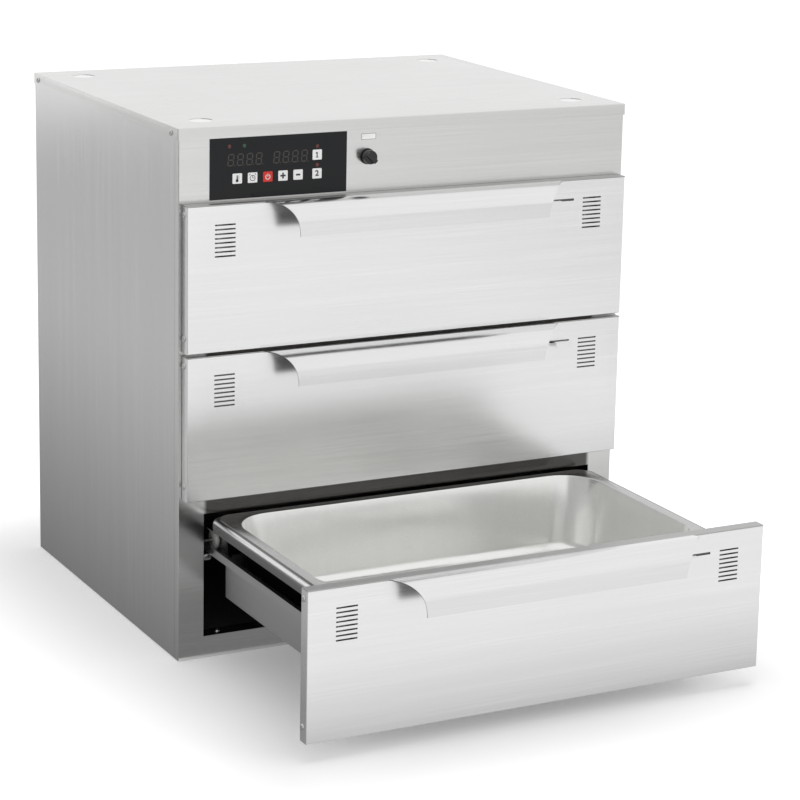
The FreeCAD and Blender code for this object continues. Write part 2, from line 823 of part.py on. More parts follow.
def make_front_skin(foot):
    """Outer tray of a drawer front, with its vents and the slot for the shutter's tab."""
    top = foot + front_height - sheet
    tray = box(-front_half, front_half, front_face_y, front_rear_y, foot, top)
    upright = straight_edges(tray, along_z, lambda point: point.y < front_face_y + sheet)
    level = straight_edges(tray, along_x, lambda point: point.y < front_face_y + sheet)
    tray = tray.makeFillet(bend_radius, upright + level)
    hollow = box(-front_half + sheet, front_half - sheet, front_face_y + sheet,
                 front_rear_y + cutter_reach, foot + sheet, top - sheet)
    cuts = [hollow]
    y0 = front_face_y - cutter_reach
    y1 = front_face_y + cutter_reach
    for row in range(vent_rows):
        z = foot + front_height - vent_top_drop - row * vent_pitch
        slot = box(vent_outer_x - vent_slot_length, vent_outer_x, y0, y1,
                   z - vent_slot_height / 2, z + vent_slot_height / 2)
        cuts += pair(slot)
    tab_z = foot + front_height - tab_drop
    cuts.append(box(tab_slot_right - tab_slot_length, tab_slot_right, y0, y1,
                    tab_z - tab_slot_height / 2, tab_z + tab_slot_height / 2))
    cuts += [screw_hole(seat, inward) for seat, inward in front_screw_seats(foot)]
    return tray.cut(cuts)


def shutter_levels(foot):
    """Lower and upper edge of the vent shutter."""
    top = foot + front_height - vent_top_drop + vent_slot_height / 2 + shutter_margin
    low = foot + front_height - vent_top_drop - (vent_rows - 1) * vent_pitch - vent_slot_height / 2
    return low - shutter_margin, top


def make_front_liner(foot):
    """Inner tray of a drawer front, with the two guides that hold the vent shutter."""
    top = foot + front_height - 2 * sheet
    outer_x = front_half - sheet
    tray = box(-outer_x, outer_x, front_rear_y - front_lip_depth, front_rear_y, foot + sheet, top)
    hollow = box(-outer_x + sheet, outer_x - sheet, front_rear_y - front_lip_depth - cutter_reach,
                 front_rear_y - sheet, foot + 2 * sheet, top - sheet)
    low, high = shutter_levels(foot)
    plate_front = front_face_y + sheet + sliding_gap
    plate_rear = plate_front + shutter_sheet
    guide_half = vent_outer_x - vent_slot_length - shutter_margin
    guides = []
    for edge, away in ((low, -1), (high, 1)):
        near = edge + away * sliding_gap
        far = near + away * sheet
        guides.append(box(-guide_half, guide_half, plate_front, front_rear_y - sheet,
                          min(near, far), max(near, far)))
        tip = edge - away * shutter_guide_lip
        guides.append(box(-guide_half, guide_half, plate_rear + sliding_gap,
                          plate_rear + sliding_gap + sheet, min(tip, far), max(tip, far)))
    holes = [screw_hole(seat, inward) for seat, inward in front_screw_seats(foot)]
    return joined([tray.cut(hollow)] + guides).cut(holes)


def make_vent_shutter(foot, moved):
    """Sliding plate behind the vents, with its tab bent down in front of the skin."""
    low, high = shutter_levels(foot)
    plate_front = front_face_y + sheet + sliding_gap
    plate_rear = plate_front + shutter_sheet
    left = -vent_outer_x - shutter_travel - sliding_gap
    right = front_half - 2 * sheet - shutter_travel - 2 * sliding_gap
    plate = box(left, right, plate_front, plate_rear, low, high)
    slots = []
    centre = vent_outer_x - vent_slot_length / 2
    for row in range(vent_rows):
        z = foot + front_height - vent_top_drop - row * vent_pitch
        slot = box(centre - shutter_slot_length / 2, centre + shutter_slot_length / 2,
                   plate_front - cutter_reach, plate_rear + cutter_reach,
                   z - vent_slot_height / 2, z + vent_slot_height / 2)
        slots += pair(slot)
    tab_right = tab_slot_right - shutter_travel - running_gap - sliding_gap
    tab_left = tab_right - tab_width
    tab_z = foot + front_height - tab_drop
    tip_y = front_face_y - tab_reach
    arm = box(tab_left, tab_right, tip_y, plate_front, tab_z - shutter_sheet / 2, tab_z + shutter_sheet / 2)
    grip = box(tab_left, tab_right, tip_y, tip_y + shutter_sheet, tab_z - tab_fall, tab_z)
    corners = straight_edges(grip, along_y, lambda point: point.z < tab_z - tab_fall / 2)
    grip = grip.makeFillet(tab_corner, corners)
    shutter = joined([plate.cut(slots), arm, grip])
    shutter.translate(Vector(moved, 0, 0))
    return shutter


def make_handle_hood(foot):
    """Sheet on top of a front that runs forward and curves down into a full-length grip."""
    top = foot + front_height
    crest_y = front_face_y - (hood_reach - hood_radius)
    crest_z = top + hood_rise
    nose_y = front_face_y - hood_reach
    centre_z = crest_z - hood_radius
    foot_z = top - hood_drop
    corner = math.sqrt(0.5)
    outer_mid = Vector(0, crest_y - hood_radius * corner, centre_z + hood_radius * corner)
    inner_radius = hood_radius - sheet
    inner_mid = Vector(0, crest_y - inner_radius * corner, centre_z + inner_radius * corner)
    outer = [Vector(0, front_rear_y, top), Vector(0, front_face_y, top), Vector(0, crest_y, crest_z),
             Vector(0, nose_y, centre_z), Vector(0, nose_y + hood_tuck, foot_z)]
    inner = [Vector(0, nose_y + hood_tuck + sheet, foot_z), Vector(0, nose_y + sheet, centre_z),
             Vector(0, crest_y, crest_z - sheet), Vector(0, front_face_y, top - sheet),
             Vector(0, front_rear_y, top - sheet)]
    edges = [Part.LineSegment(outer[0], outer[1]).toShape(), Part.LineSegment(outer[1], outer[2]).toShape(),
             Part.Arc(outer[2], outer_mid, outer[3]).toShape(),
             Part.LineSegment(outer[3], outer[4]).toShape(), Part.LineSegment(outer[4], inner[0]).toShape(),
             Part.LineSegment(inner[0], inner[1]).toShape(),
             Part.Arc(inner[1], inner_mid, inner[2]).toShape(),
             Part.LineSegment(inner[2], inner[3]).toShape(), Part.LineSegment(inner[3], inner[4]).toShape(),
             Part.LineSegment(inner[4], outer[0]).toShape()]
    section = Part.Face(Part.Wire(edges))
    section.translate(Vector(-hood_half_width, 0, 0))
    hood = section.extrude(Vector(2 * hood_half_width, 0, 0))
    ledge = box(-front_half, front_half, front_face_y, front_rear_y, top - sheet, top)
    end = Part.Ellipse(Vector(hood_half_width, crest_y, foot_z + hood_drop + hood_rise),
                       Vector(hood_half_width - hood_end_inset, crest_y, foot_z),
                       Vector(hood_half_width, crest_y, foot_z))
    cutter = Part.Face(Part.Wire([end.toShape()])).extrude(Vector(0, -hood_radius - cutter_reach, 0))
    return joined([hood.cut(pair(cutter)), ledge])


def rim_level(foot):
    """Top of a pan's rim."""
    return foot + front_height - rim_below_front_top


def make_carrier_frame(foot):
    """Frame with a rolled outer edge that holds the pan by its rim, and the two tongues under it."""
    top = rim_level(foot) - pan_sheet
    low = top - carrier_height
    corner_y = carrier_rear_y
    blank = box(-carrier_half, carrier_half, front_rear_y, corner_y, low, top)
    corners = straight_edges(blank, along_z, lambda point: point.y > corner_y - sheet)
    blank = blank.makeFillet(carrier_corner, corners)
    rim = [edge for edge in blank.Edges if abs(edge.CenterOfMass.z - top) < 1e-6
           and edge.CenterOfMass.y > front_rear_y + sheet]
    blank = blank.makeFillet(carrier_edge_radius, rim)
    inner_x = carrier_half - sheet
    hollow = box(-inner_x, inner_x, front_rear_y + sheet, corner_y - sheet, low + sheet, top - sheet)
    corners = straight_edges(hollow, along_z, lambda point: point.y > corner_y - 2 * sheet)
    hollow = hollow.makeFillet(carrier_corner - sheet, corners)
    rim = [edge for edge in hollow.Edges if abs(edge.CenterOfMass.z - top + sheet) < 1e-6
           and edge.CenterOfMass.y > front_rear_y + 2 * sheet]
    hollow = hollow.makeFillet(carrier_edge_radius - sheet, rim)
    y0 = face + pan_front_setback + pan_rim - pan_sheet - carrier_hole_gap
    y1 = face + pan_front_setback + pan_width - pan_rim + pan_sheet + carrier_hole_gap
    hole_x = pan_length / 2 - pan_rim + pan_sheet + carrier_hole_gap
    hole = rounded_block(hole_x, y0, y1, pan_corner, low, top + cutter_reach)
    foot_x = carrier_half - carrier_foot_return
    foot_hole = box(-foot_x, foot_x, front_rear_y + carrier_foot_return,
                    corner_y - carrier_foot_return, low - cutter_reach, low + 2 * sheet)
    tongue = box(carrier_half - tongue_width, carrier_half, corner_y - carrier_corner - sheet,
                 corner_y + tongue_length, low - sheet, low)
    return [blank.cut([hollow, hole, foot_hole])] + pair(tongue)


def make_pan(foot):
    """Deep-drawn pan with a flat rim, drawn-in walls and round corners."""
    top = rim_level(foot)
    y0 = face + pan_front_setback
    y1 = y0 + pan_width
    half = pan_length / 2
    rim = rounded_block(half, y0, y1, pan_rim_corner, top - pan_sheet, top)
    low = top - pan_depth
    outer = tapered_block(half - pan_rim + pan_sheet, y0 + pan_rim - pan_sheet, y1 - pan_rim + pan_sheet,
                          pan_corner + pan_sheet, pan_taper, low, top)
    inner = tapered_block(half - pan_rim, y0 + pan_rim, y1 - pan_rim, pan_corner, pan_taper,
                          low + pan_sheet, top)
    lower_rim = [edge for edge in outer.Edges if abs(edge.CenterOfMass.z - low) < 1e-6]
    outer = outer.makeFillet(pan_floor_radius + pan_sheet, lower_rim)
    floor_rim = [edge for edge in inner.Edges if abs(edge.CenterOfMass.z - low - pan_sheet) < 1e-6]
    inner = inner.makeFillet(pan_floor_radius, floor_rim)
    return joined([rim, outer]).cut(inner)


def make_runner(foot):
    """Right-hand runner: angle rail, side apron with its tab, rear upright and axle."""
    level = runner_level(foot)
    inner_x = runner_half - runner_flange
    flange = box(inner_x, runner_half, front_rear_y, runner_rear_y, level, level + runner_sheet)
    strip = box(runner_half - runner_sheet, runner_half, front_rear_y, runner_rear_y,
                level, level + runner_height)
    apron_x = runner_half - apron_inset
    apron_low = level - apron_height
    apron_rear = face + apron_length
    apron = box(apron_x - sheet, apron_x, front_rear_y, apron_rear, apron_low, level)
    tab = box(apron_x - apron_tab, apron_x, apron_rear - sheet, apron_rear, apron_low, level)
    tab_head = box(apron_x - apron_tab, inner_x + runner_sheet, apron_rear - sheet, apron_rear,
                   level, level + apron_tab_rise)
    tongue_low = rim_level(foot) - pan_sheet - carrier_height - sheet
    upright_rear = carrier_rear_y + tongue_length
    upright = box(inner_x, inner_x + runner_sheet, upright_rear - upright_length, upright_rear,
                  level, tongue_low)
    axle_y = runner_rear_y - rear_axle_setback
    axle_z = level + runner_height / 2
    axle_end = liner_half - guide_sheet - roller_side_gap
    axle = rod(rear_axle_radius, Vector(runner_half - runner_sheet, axle_y, axle_z),
               Vector(axle_end, axle_y, axle_z))
    return joined([flange, strip, apron, tab, tab_head, upright, axle])


def make_rear_rollers(foot):
    """Rollers at the back ends of a drawer's runners, inside the guide channels."""
    axle_y = runner_rear_y - rear_axle_setback
    axle_z = runner_level(foot) + runner_height / 2
    outer_x = liner_half - guide_sheet - 2 * roller_side_gap
    start = Vector(outer_x - rear_roller_width, axle_y, axle_z)
    end = Vector(outer_x, axle_y, axle_z)
    roller = rod(rear_roller_radius, start, end).cut(rod(rear_axle_radius + running_gap, start, end))
    return pair(roller)


def save_drawer(number, foot, pulled, shutter_moved):
    """Write the nine nodes of one drawer, slid out by the given distance."""
    name_end = "_" + str(number)
    nodes = {
        "front_skin": [make_front_skin(foot)],
        "front_liner": [make_front_liner(foot)],
        "handle_hood": [make_handle_hood(foot)],
        "vent_shutter": [make_vent_shutter(foot, shutter_moved)],
        "front_screws": [pan_head_screw(seat, inward) for seat, inward in front_screw_seats(foot)],
        "carrier_frame": make_carrier_frame(foot),
        "pan": [make_pan(foot)],
        "runners": pair(make_runner(foot)),
        "rear_rollers": make_rear_rollers(foot),
    }
    for name, shapes in nodes.items():
        for shape in shapes:
            shape.translate(Vector(0, -pulled, 0))
        save(name + name_end, shapes)


os.makedirs("parts", exist_ok=True)

save("lid", [make_lid()])
side_panel_right = make_side_panel()
save("side_panel_right", [side_panel_right])
save("side_panel_left", [mirrored(side_panel_right)])
save("rear_panel", [make_rear_panel()])
save("base_panel", [make_base_panel()])
save("face_frame", make_face_frame())
save("liner_panels", make_liner_panels())
save("insulation_slabs", make_insulation_slabs())
save("guide_rails", make_guide_rails())
save("roller_pins", make_roller_pins())
save("heater_elements", make_heater_elements())
save("temperature_probe", [make_temperature_probe()])
save("membrane_panel", [make_membrane_panel()])
save("control_board", [make_control_board()])
save("indicator_lamps", make_indicator_lamps())
for key_name, key_x, key_z in key_places():
    save(key_name, [make_key(key_x, key_z)])
save("fuse_holder", [make_fuse_holder()])
save("fuse_cap", [make_fuse_cap()])
save("cable_gland", [make_cable_gland()])
save("cabinet_screws", cabinet_screws)

# Drawer 1 is the top one. The lowest is pulled out, and the middle one's vents are shut.
for index, foot in enumerate(front_feet):
    number = drawer_count - index
    pulled = shown_opening if index == 0 else 0.0
    shutter_moved = shutter_travel if index == 1 else 0.0
    save("support_rollers_" + str(number), make_support_rollers(foot))
    save("hold_rollers_" + str(number), make_hold_rollers(foot))
    save_drawer(number, foot, pulled, shutter_moved)
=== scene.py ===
import math

import bmesh
import bpy
from mathutils import Matrix, Vector


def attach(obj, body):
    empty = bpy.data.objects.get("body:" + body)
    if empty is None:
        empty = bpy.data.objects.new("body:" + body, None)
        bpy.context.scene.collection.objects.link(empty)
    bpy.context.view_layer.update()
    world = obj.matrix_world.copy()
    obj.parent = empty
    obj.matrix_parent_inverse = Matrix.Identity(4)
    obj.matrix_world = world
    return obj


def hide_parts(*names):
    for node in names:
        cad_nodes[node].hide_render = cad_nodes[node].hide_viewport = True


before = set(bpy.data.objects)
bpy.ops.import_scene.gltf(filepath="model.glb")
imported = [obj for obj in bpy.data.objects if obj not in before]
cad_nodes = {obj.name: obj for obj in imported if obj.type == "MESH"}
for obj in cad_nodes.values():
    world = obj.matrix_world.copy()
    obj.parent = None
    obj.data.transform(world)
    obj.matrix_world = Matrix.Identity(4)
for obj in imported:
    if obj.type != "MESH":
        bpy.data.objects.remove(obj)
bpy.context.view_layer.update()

# The photographer's camera: a long lens at standing height, left of the cabinet, looking slightly down.
# The lens shift is the part of the photograph's framing that is off the optical axis.
camera_place = (-1.5114, -3.1681, 1.1736)
camera_turn = -28.358
camera_tilt = 13.078
camera_roll = 1.427
camera_data = bpy.data.cameras.new("studio_camera")
camera_data.sensor_width = 36.0
camera_data.lens = 120.145
camera_data.shift_x = -0.0625
camera_data.shift_y = -0.1
camera_data.clip_start = 0.1
camera_data.clip_end = 60.0
camera = bpy.data.objects.new("studio_camera", camera_data)
bpy.context.scene.collection.objects.link(camera)
turn = Matrix.Rotation(math.radians(camera_turn), 4, "Z")
tilt = Matrix.Rotation(math.radians(90 - camera_tilt), 4, "X")
roll = Matrix.Rotation(math.radians(camera_roll), 4, "Z")
camera.matrix_world = Matrix.Translation(camera_place) @ turn @ tilt @ roll
bpy.context.scene.camera = camera
bpy.context.scene.view_settings.view_transform = "Standard"


# The studio: a white floor and white surroundings, lit by a large soft lamp above and a weaker one at
# the front right. The floor and the surroundings look white in every view and in the steel, while
# the floor keeps the object's shadow. Round the cabinet's footprint the floor glows less, a painted
# shadow that fades out over a quarter metre.
def linear(code):
    """A hex sRGB colour as a linear one with full opacity."""
    channels = []
    for start in (0, 2, 4):
        value = int(code[start:start + 2], 16) / 255
        channels.append(value / 12.92 if value <= 0.04045 else ((value + 0.055) / 1.055) ** 2.4)
    return (*channels, 1.0)


def add_node(tree, kind, values=None, links=None, **settings):
    """A shader node with its settings, socket values and links."""
    made = tree.nodes.new("ShaderNode" + kind)
    for key, value in settings.items():
        setattr(made, key, value)
    for key, value in (values or {}).items():
        made.inputs[key].default_value = value
    for key, source in (links or {}).items():
        tree.links.new(source, made.inputs[key])
    return made


def empty_tree(owner):
    """The cleared node tree of a material or of the world."""
    owner.use_nodes = True
    owner.node_tree.nodes.clear()
    return owner.node_tree


def looked_at(tree):
    """1 on the rays of the camera, of mirrors and of glass, 0 on the rays that light the scene."""
    sight = add_node(tree, "LightPath")
    seen = sight.outputs["Is Camera Ray"]
    for kind in ("Is Glossy Ray", "Is Transmission Ray"):
        either = add_node(tree, "Math", links={0: seen, 1: sight.outputs[kind]}, operation="MAXIMUM")
        seen = either.outputs[0]
    return seen


def new_object(name, builder, *materials):
    """An object in the scene, with the built mesh and its materials."""
    mesh = bpy.data.meshes.new(name)
    builder.to_mesh(mesh)
    builder.free()
    for material in materials:
        mesh.materials.append(material)
    made = bpy.data.objects.new(name, mesh)
    bpy.context.scene.collection.objects.link(made)
    return made


white = linear("ffffff")
sky_light = 0.62
world = bpy.data.worlds.new("studio_surroundings")
bpy.context.scene.world = world
sky = empty_tree(world)
shown_sky = add_node(sky, "Background", {"Color": white, "Strength": 1.0})
lighting_sky = add_node(sky, "Background", {"Color": white, "Strength": sky_light})
mixed_sky = add_node(sky, "MixShader", links={0: looked_at(sky), 1: lighting_sky.outputs[0],
                                              2: shown_sky.outputs[0]})
add_node(sky, "OutputWorld", links={0: mixed_sky.outputs[0]})

floor_radius = 14.0
floor_drop = 0.0005
shadow_middle = (0.0, -0.2)
shadow_half = (0.31, 0.45)
shadow_fade = 0.25
shadowed_floor_glow = 0.25
far_glow = 0.55
floor_paint = bpy.data.materials.new("white_studio_floor")
paint = empty_tree(floor_paint)
place = add_node(paint, "TexCoord").outputs["Object"]
apart = add_node(paint, "SeparateXYZ", links={0: place})
beyond = []
for axis, middle, half in zip((0, 1), shadow_middle, shadow_half):
    offset = add_node(paint, "Math", {1: middle}, {0: apart.outputs[axis]}, operation="SUBTRACT")
    offset = add_node(paint, "Math", links={0: offset.outputs[0]}, operation="ABSOLUTE")
    offset = add_node(paint, "Math", {1: half}, {0: offset.outputs[0]}, operation="SUBTRACT")
    offset = add_node(paint, "Math", {1: 0.0}, {0: offset.outputs[0]}, operation="MAXIMUM")
    beyond.append(offset.outputs[0])
beside = add_node(paint, "CombineXYZ", links={0: beyond[0], 1: beyond[1]})
away = add_node(paint, "VectorMath", links={0: beside.outputs[0]}, operation="LENGTH")
# Painted shadow: the floor glows less near the cabinet's footprint and fully a quarter metre away.
fill = add_node(paint, "MapRange",
                {"From Min": 0.0, "From Max": shadow_fade, "To Min": shadowed_floor_glow, "To Max": far_glow},
                {0: away.outputs["Value"]}, interpolation_type="SMOOTHSTEP")
lit_floor = add_node(paint, "BsdfDiffuse", {"Color": linear("f2f2f2")})
glow = add_node(paint, "Emission", {"Color": white}, {"Strength": fill.outputs[0]})
bright_floor = add_node(paint, "AddShader", links={0: lit_floor.outputs[0], 1: glow.outputs[0]})
mixed_floor = add_node(paint, "MixShader", links={0: looked_at(paint), 1: lit_floor.outputs[0],
                                                  2: bright_floor.outputs[0]})
add_node(paint, "OutputMaterial", links={0: mixed_floor.outputs[0]})
builder = bmesh.new()
bmesh.ops.create_circle(builder, cap_ends=True, segments=96, radius=floor_radius)
bmesh.ops.translate(builder, vec=(0, 0, -floor_drop), verts=builder.verts)
floor = new_object("studio_floor", builder, floor_paint)


def soft_lamp(name, place, aim, width, height, watts):
    """A rectangular lamp at a place, turned to what it lights."""
    data = bpy.data.lights.new(name, "AREA")
    data.shape = "RECTANGLE"
    data.size = width
    data.size_y = height
    data.energy = watts
    lamp = bpy.data.objects.new(name, data)
    lamp.location = place
    lamp.rotation_euler = (Vector(aim) - Vector(place)).to_track_quat("-Z", "Y").to_euler()
    lamp.visible_glossy = False
    bpy.context.scene.collection.objects.link(lamp)


soft_lamp("overhead_lamp", (0.3, -0.6, 2.6), (0, -0.2, 0.3), 2.4, 1.4, 18)
soft_lamp("front_lamp", (1.8, -2.6, 1.5), (0, -0.2, 0.35), 1.6, 1.6, 10)


# Cards that only reflections see, painted reflections standing for the photographer's table and the
# unlit left wall. One lies on the floor at the left, darkest beside the cabinet as a painted shadow,
# and one in front, darker under the open drawer, towards the left and far to the right, as painted shade.
def reflection_card(name, place, width, depth, level, fades=()):
    """A glowing card. Each fade gives an axis, its start and end there, and the brightness at both."""
    card_paint = bpy.data.materials.new(name + "_paint")
    tree = empty_tree(card_paint)
    shine = add_node(tree, "Emission", {"Color": white, "Strength": level})
    if fades:
        where = add_node(tree, "TexCoord")
        apart = add_node(tree, "SeparateXYZ", links={0: where.outputs["Object"]})
    brightness = None
    for axis, start, end, first, last in fades:
        fade = add_node(tree, "MapRange",
                        {"From Min": start, "From Max": end, "To Min": first, "To Max": last},
                        {0: apart.outputs[axis]}).outputs[0]
        if brightness is not None:
            both = add_node(tree, "Math", links={0: brightness, 1: fade}, operation="MULTIPLY")
            fade = both.outputs[0]
        brightness = fade
        tree.links.new(brightness, shine.inputs["Color"])
    add_node(tree, "OutputMaterial", links={0: shine.outputs[0]})
    builder = bmesh.new()
    bmesh.ops.create_grid(builder, x_segments=1, y_segments=1, size=0.5)
    size = Matrix.Diagonal((width, depth, 1.0, 1.0))
    bmesh.ops.transform(builder, matrix=place @ size, verts=builder.verts)
    card = new_object(name, builder, card_paint)
    card.visible_camera = False
    card.visible_diffuse = False
    card.visible_shadow = False
    card.visible_transmission = False


quarter_turn = math.pi / 2
upright_left = Matrix.Rotation(quarter_turn, 4, "Y") @ Matrix.Rotation(quarter_turn, 4, "Z")
reflection_card("left_wall_card", Matrix.Translation((-3.4, 0.0, 2.26)) @ upright_left, 12.0, 4.5, 0.42)
reflection_card("left_table_card", Matrix.Translation((-1.81, 1.5, 0.001)), 3.0, 5.0, 1.0,
                [("X", -0.31, -0.85, 0.24, 0.62), ("Y", 1.5, 3.6, 1.0, 0.88)])
reflection_card("front_table_card", Matrix.Translation((1.5, -4.26, 0.001)), 9.0, 8.0, 1.0,
                [("Y", -0.5, -0.72, 0.3, 1.0), ("Y", -0.72, -0.9, 0.72, 0.93),
                 ("Y", -2.4, -3.3, 1.0, 1.12), ("X", 1.0, 1.25, 1.0, 0.87),
                 ("X", 1.9, 2.4, 1.0, 0.85), ("X", -1.1, -0.5, 0.15, 1.0)])


# Cabinet shell: lid, two side panels and the front frame, folded from 1.2 mm stainless sheet with a
# brushed face. The brushing runs along each sheet, which carries faint roller bands and handling marks.
# The lid has four shallow pressed marks, whose floors are painted brighter than the rest, a painted
# highlight.
def new_material(name):
    """An empty material, its node tree and its object coordinates."""
    material = bpy.data.materials.new(name)
    tree = empty_tree(material)
    return material, tree, add_node(tree, "TexCoord").outputs["Object"]


def finish_surface(tree, colour, metallic, roughness, height, bump, depth=0.0001, **sockets):
    """The main shader of a surface, with its bump, linked to the output."""
    shader = add_node(tree, "BsdfPrincipled", {"Metallic": metallic, **sockets}, {"Base Color": colour})
    if isinstance(roughness, float):
        shader.inputs["Roughness"].default_value = roughness
    else:
        tree.links.new(roughness, shader.inputs["Roughness"])
    relief = add_node(tree, "Bump", {"Strength": bump, "Distance": depth}, {"Height": height})
    tree.links.new(relief.outputs[0], shader.inputs["Normal"])
    add_node(tree, "OutputMaterial", links={0: shader.outputs[0]})


def noise(tree, place, scale, detail=3.0, rough=0.55):
    """Noise with separate scales along X, Y and Z, per metre."""
    mapped = add_node(tree, "Mapping", {"Scale": scale}, {0: place})
    made = add_node(tree, "TexNoise", {"Scale": 1.0, "Detail": detail, "Roughness": rough},
                    {"Vector": mapped.outputs[0]})
    return made.outputs[0]


def spread(tree, source, low, high, start=0.3, end=0.7):
    """A pattern's values set to a new range."""
    made = add_node(tree, "MapRange", {"From Min": start, "From Max": end, "To Min": low, "To Max": high},
                    {0: source})
    return made.outputs[0]


def mixed(tree, share, first, second):
    """Two colours mixed by a pattern."""
    made = add_node(tree, "Mix", links={0: share}, data_type="RGBA")
    for index, value in ((6, first), (7, second)):
        if isinstance(value, tuple):
            made.inputs[index].default_value = value
        else:
            tree.links.new(value, made.inputs[index])
    return made.outputs[2]


def shaded(code, factor):
    """A hex colour made lighter or darker."""
    colour = linear(code)
    return (*[min(channel * factor, 1.0) for channel in colour[:3]], 1.0)


def painted_shade_strips(tree, place, base):
    """The frame's colour, with painted shade: darker strips where it stands behind the drawer fronts."""
    strip_side = (0.272, 0.277)
    strip_foot = (0.1, 0.12)
    strip_top = (0.572, 0.577)
    apart = add_node(tree, "SeparateXYZ", links={0: place})
    sideways = add_node(tree, "Math", links={0: apart.outputs["X"]}, operation="ABSOLUTE")
    inside = spread(tree, sideways.outputs[0], 1.0, 0.0, *strip_side)
    above = spread(tree, apart.outputs["Z"], 0.0, 1.0, *strip_foot)
    below = spread(tree, apart.outputs["Z"], 1.0, 0.0, *strip_top)
    strip = add_node(tree, "Math", links={0: above, 1: below}, operation="MULTIPLY")
    strip = add_node(tree, "Math", links={0: strip.outputs[0], 1: inside}, operation="MULTIPLY")
    return mixed(tree, strip.outputs[0], base, linear("5e5c5a"))


def brushed_steel(name, code, grain, roughness, relief=0.04, paint_shade=False, metallic=1.0, **sockets):
    """Brushed stainless sheet. Its grain is about 1.5 mm apart, coarser than real, so that it shows."""
    material, tree, place = new_material(name)
    grain_scales = [6.0 if axis == grain else 620.0 for axis in range(3)]
    band_scales = [1.5 if axis == grain else 75.0 for axis in range(3)]
    streaks = 0.03
    smudges = 0.025
    fine = noise(tree, place, grain_scales)
    bands = noise(tree, place, band_scales, 2.0)
    cloud = noise(tree, place, (5.0, 5.0, 5.0), 4.0, 0.6)
    base = mixed(tree, spread(tree, fine, 0.0, 1.0), shaded(code, 0.96), shaded(code, 1.04))
    base = mixed(tree, spread(tree, bands, 0.0, 1.0), base, shaded(code, 0.97))
    # Painted shade: the frame is darker in strips behind the drawer fronts.
    if paint_shade:
        base = painted_shade_strips(tree, place, base)
    uneven = add_node(tree, "Math", links={0: spread(tree, fine, -streaks, streaks),
                                           1: spread(tree, cloud, -smudges, smudges)}, operation="ADD")
    rough = add_node(tree, "Math", {1: roughness}, {0: uneven.outputs[0]}, operation="ADD")
    finish_surface(tree, base, metallic, rough.outputs[0], fine, relief, **sockets)
    return material


def dress(node_name, material):
    """Puts one material on a CAD node."""
    slots = cad_nodes[node_name].data.materials
    slots.clear()
    slots.append(material)


def smooth_by_angle(piece, degrees):
    """Smooth shading, with the edges sharper than the angle left crisp."""
    mesh = piece.data
    mesh.shade_smooth()
    builder = bmesh.new()
    builder.from_mesh(mesh)
    limit = math.radians(degrees)
    for edge in builder.edges:
        edge.smooth = len(edge.link_faces) == 2 and edge.calc_face_angle(0.0) < limit
    builder.to_mesh(mesh)
    builder.free()


weld_distance = 1e-6


def smooth_copy(node_name, body, materials, choose=None, rounded=None):
    """A welded and smoothly shaded copy of a CAD node, which it replaces. Choose gives a face's material,
    and rounded picks the edges that get a radius."""
    source = cad_nodes[node_name]
    edge_radius = 0.9
    builder = bmesh.new()
    builder.from_mesh(source.data)
    bmesh.ops.transform(builder, matrix=source.matrix_world, verts=builder.verts)
    bmesh.ops.remove_doubles(builder, verts=builder.verts, dist=weld_distance)
    bmesh.ops.recalc_face_normals(builder, faces=builder.faces)
    if rounded:
        picked = [edge for edge in builder.edges if rounded(edge)]
        bmesh.ops.bevel(builder, geom=picked, offset=edge_radius / 1000, affect="EDGES", segments=3,
                        profile=0.5, material=-1, clamp_overlap=True)
    for face in builder.faces:
        face.material_index = choose(face) if choose else 0
    piece = new_object(node_name + "_smooth", builder, *materials)
    if "custom_normal" in piece.data.attributes:
        piece.data.attributes.remove(piece.data.attributes["custom_normal"])
    smooth_by_angle(piece, 35)
    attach(piece, body)
    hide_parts(node_name)


lid_top = 670.0
mark_depth = 0.6


def lid_face(face):
    """Picks the floors of the lid's pressed marks."""
    under_top = lid_top - face.calc_center_median().z * 1000
    return int(face.normal.z > 0.9 and abs(under_top - mark_depth) < 0.5)


lid_steel = brushed_steel("brushed_stainless_lid", "d9d9d8", 0, 0.24)
side_steel = brushed_steel("brushed_stainless_side", "dadada", 2, 0.22)
# The frame carries painted shade in strips behind the drawer fronts.
frame_steel = brushed_steel("brushed_stainless_frame", "dcdcdb", 0, 0.21, paint_shade=True)
# Painted highlight: the floors of the lid's pressed marks are a lighter steel.
lid_mark_highlight_steel = brushed_steel("lid_mark_painted_highlight", "f4f4f3", 0, 0.3)
smooth_copy("lid", "cabinet", [lid_steel, lid_mark_highlight_steel], lid_face)
smooth_copy("side_panel_left", "cabinet", [side_steel])
smooth_copy("side_panel_right", "cabinet", [side_steel])
dress("face_frame", frame_steel)


# Back sheet, base sheet and the guide channels for the drawers' rear rollers. They are galvanised steel,
# left bare, with the crystal spangle of its zinc coat.
def galvanised_steel(name, code):
    """Zinc coating with flakes 8 to 15 mm across."""
    material, tree, place = new_material(name)
    flakes = add_node(tree, "TexVoronoi", {"Scale": 95.0, "Randomness": 1.0}, {"Vector": place})
    flake = add_node(tree, "SeparateColor", links={0: flakes.outputs["Color"]})
    grit = noise(tree, place, (300.0, 300.0, 300.0))
    base = mixed(tree, flake.outputs[0], shaded(code, 0.84), shaded(code, 1.12))
    base = mixed(tree, spread(tree, grit, 0.0, 0.25), base, shaded(code, 0.8))
    finish_surface(tree, base, 1.0, spread(tree, flake.outputs[1], 0.34, 0.52, 0.0, 1.0), grit, 0.15)
    return material


zinc = galvanised_steel("galvanised_sheet", "cbcdcf")
for node_name in ("rear_panel", "base_panel", "guide_rails"):
    dress(node_name, zinc)


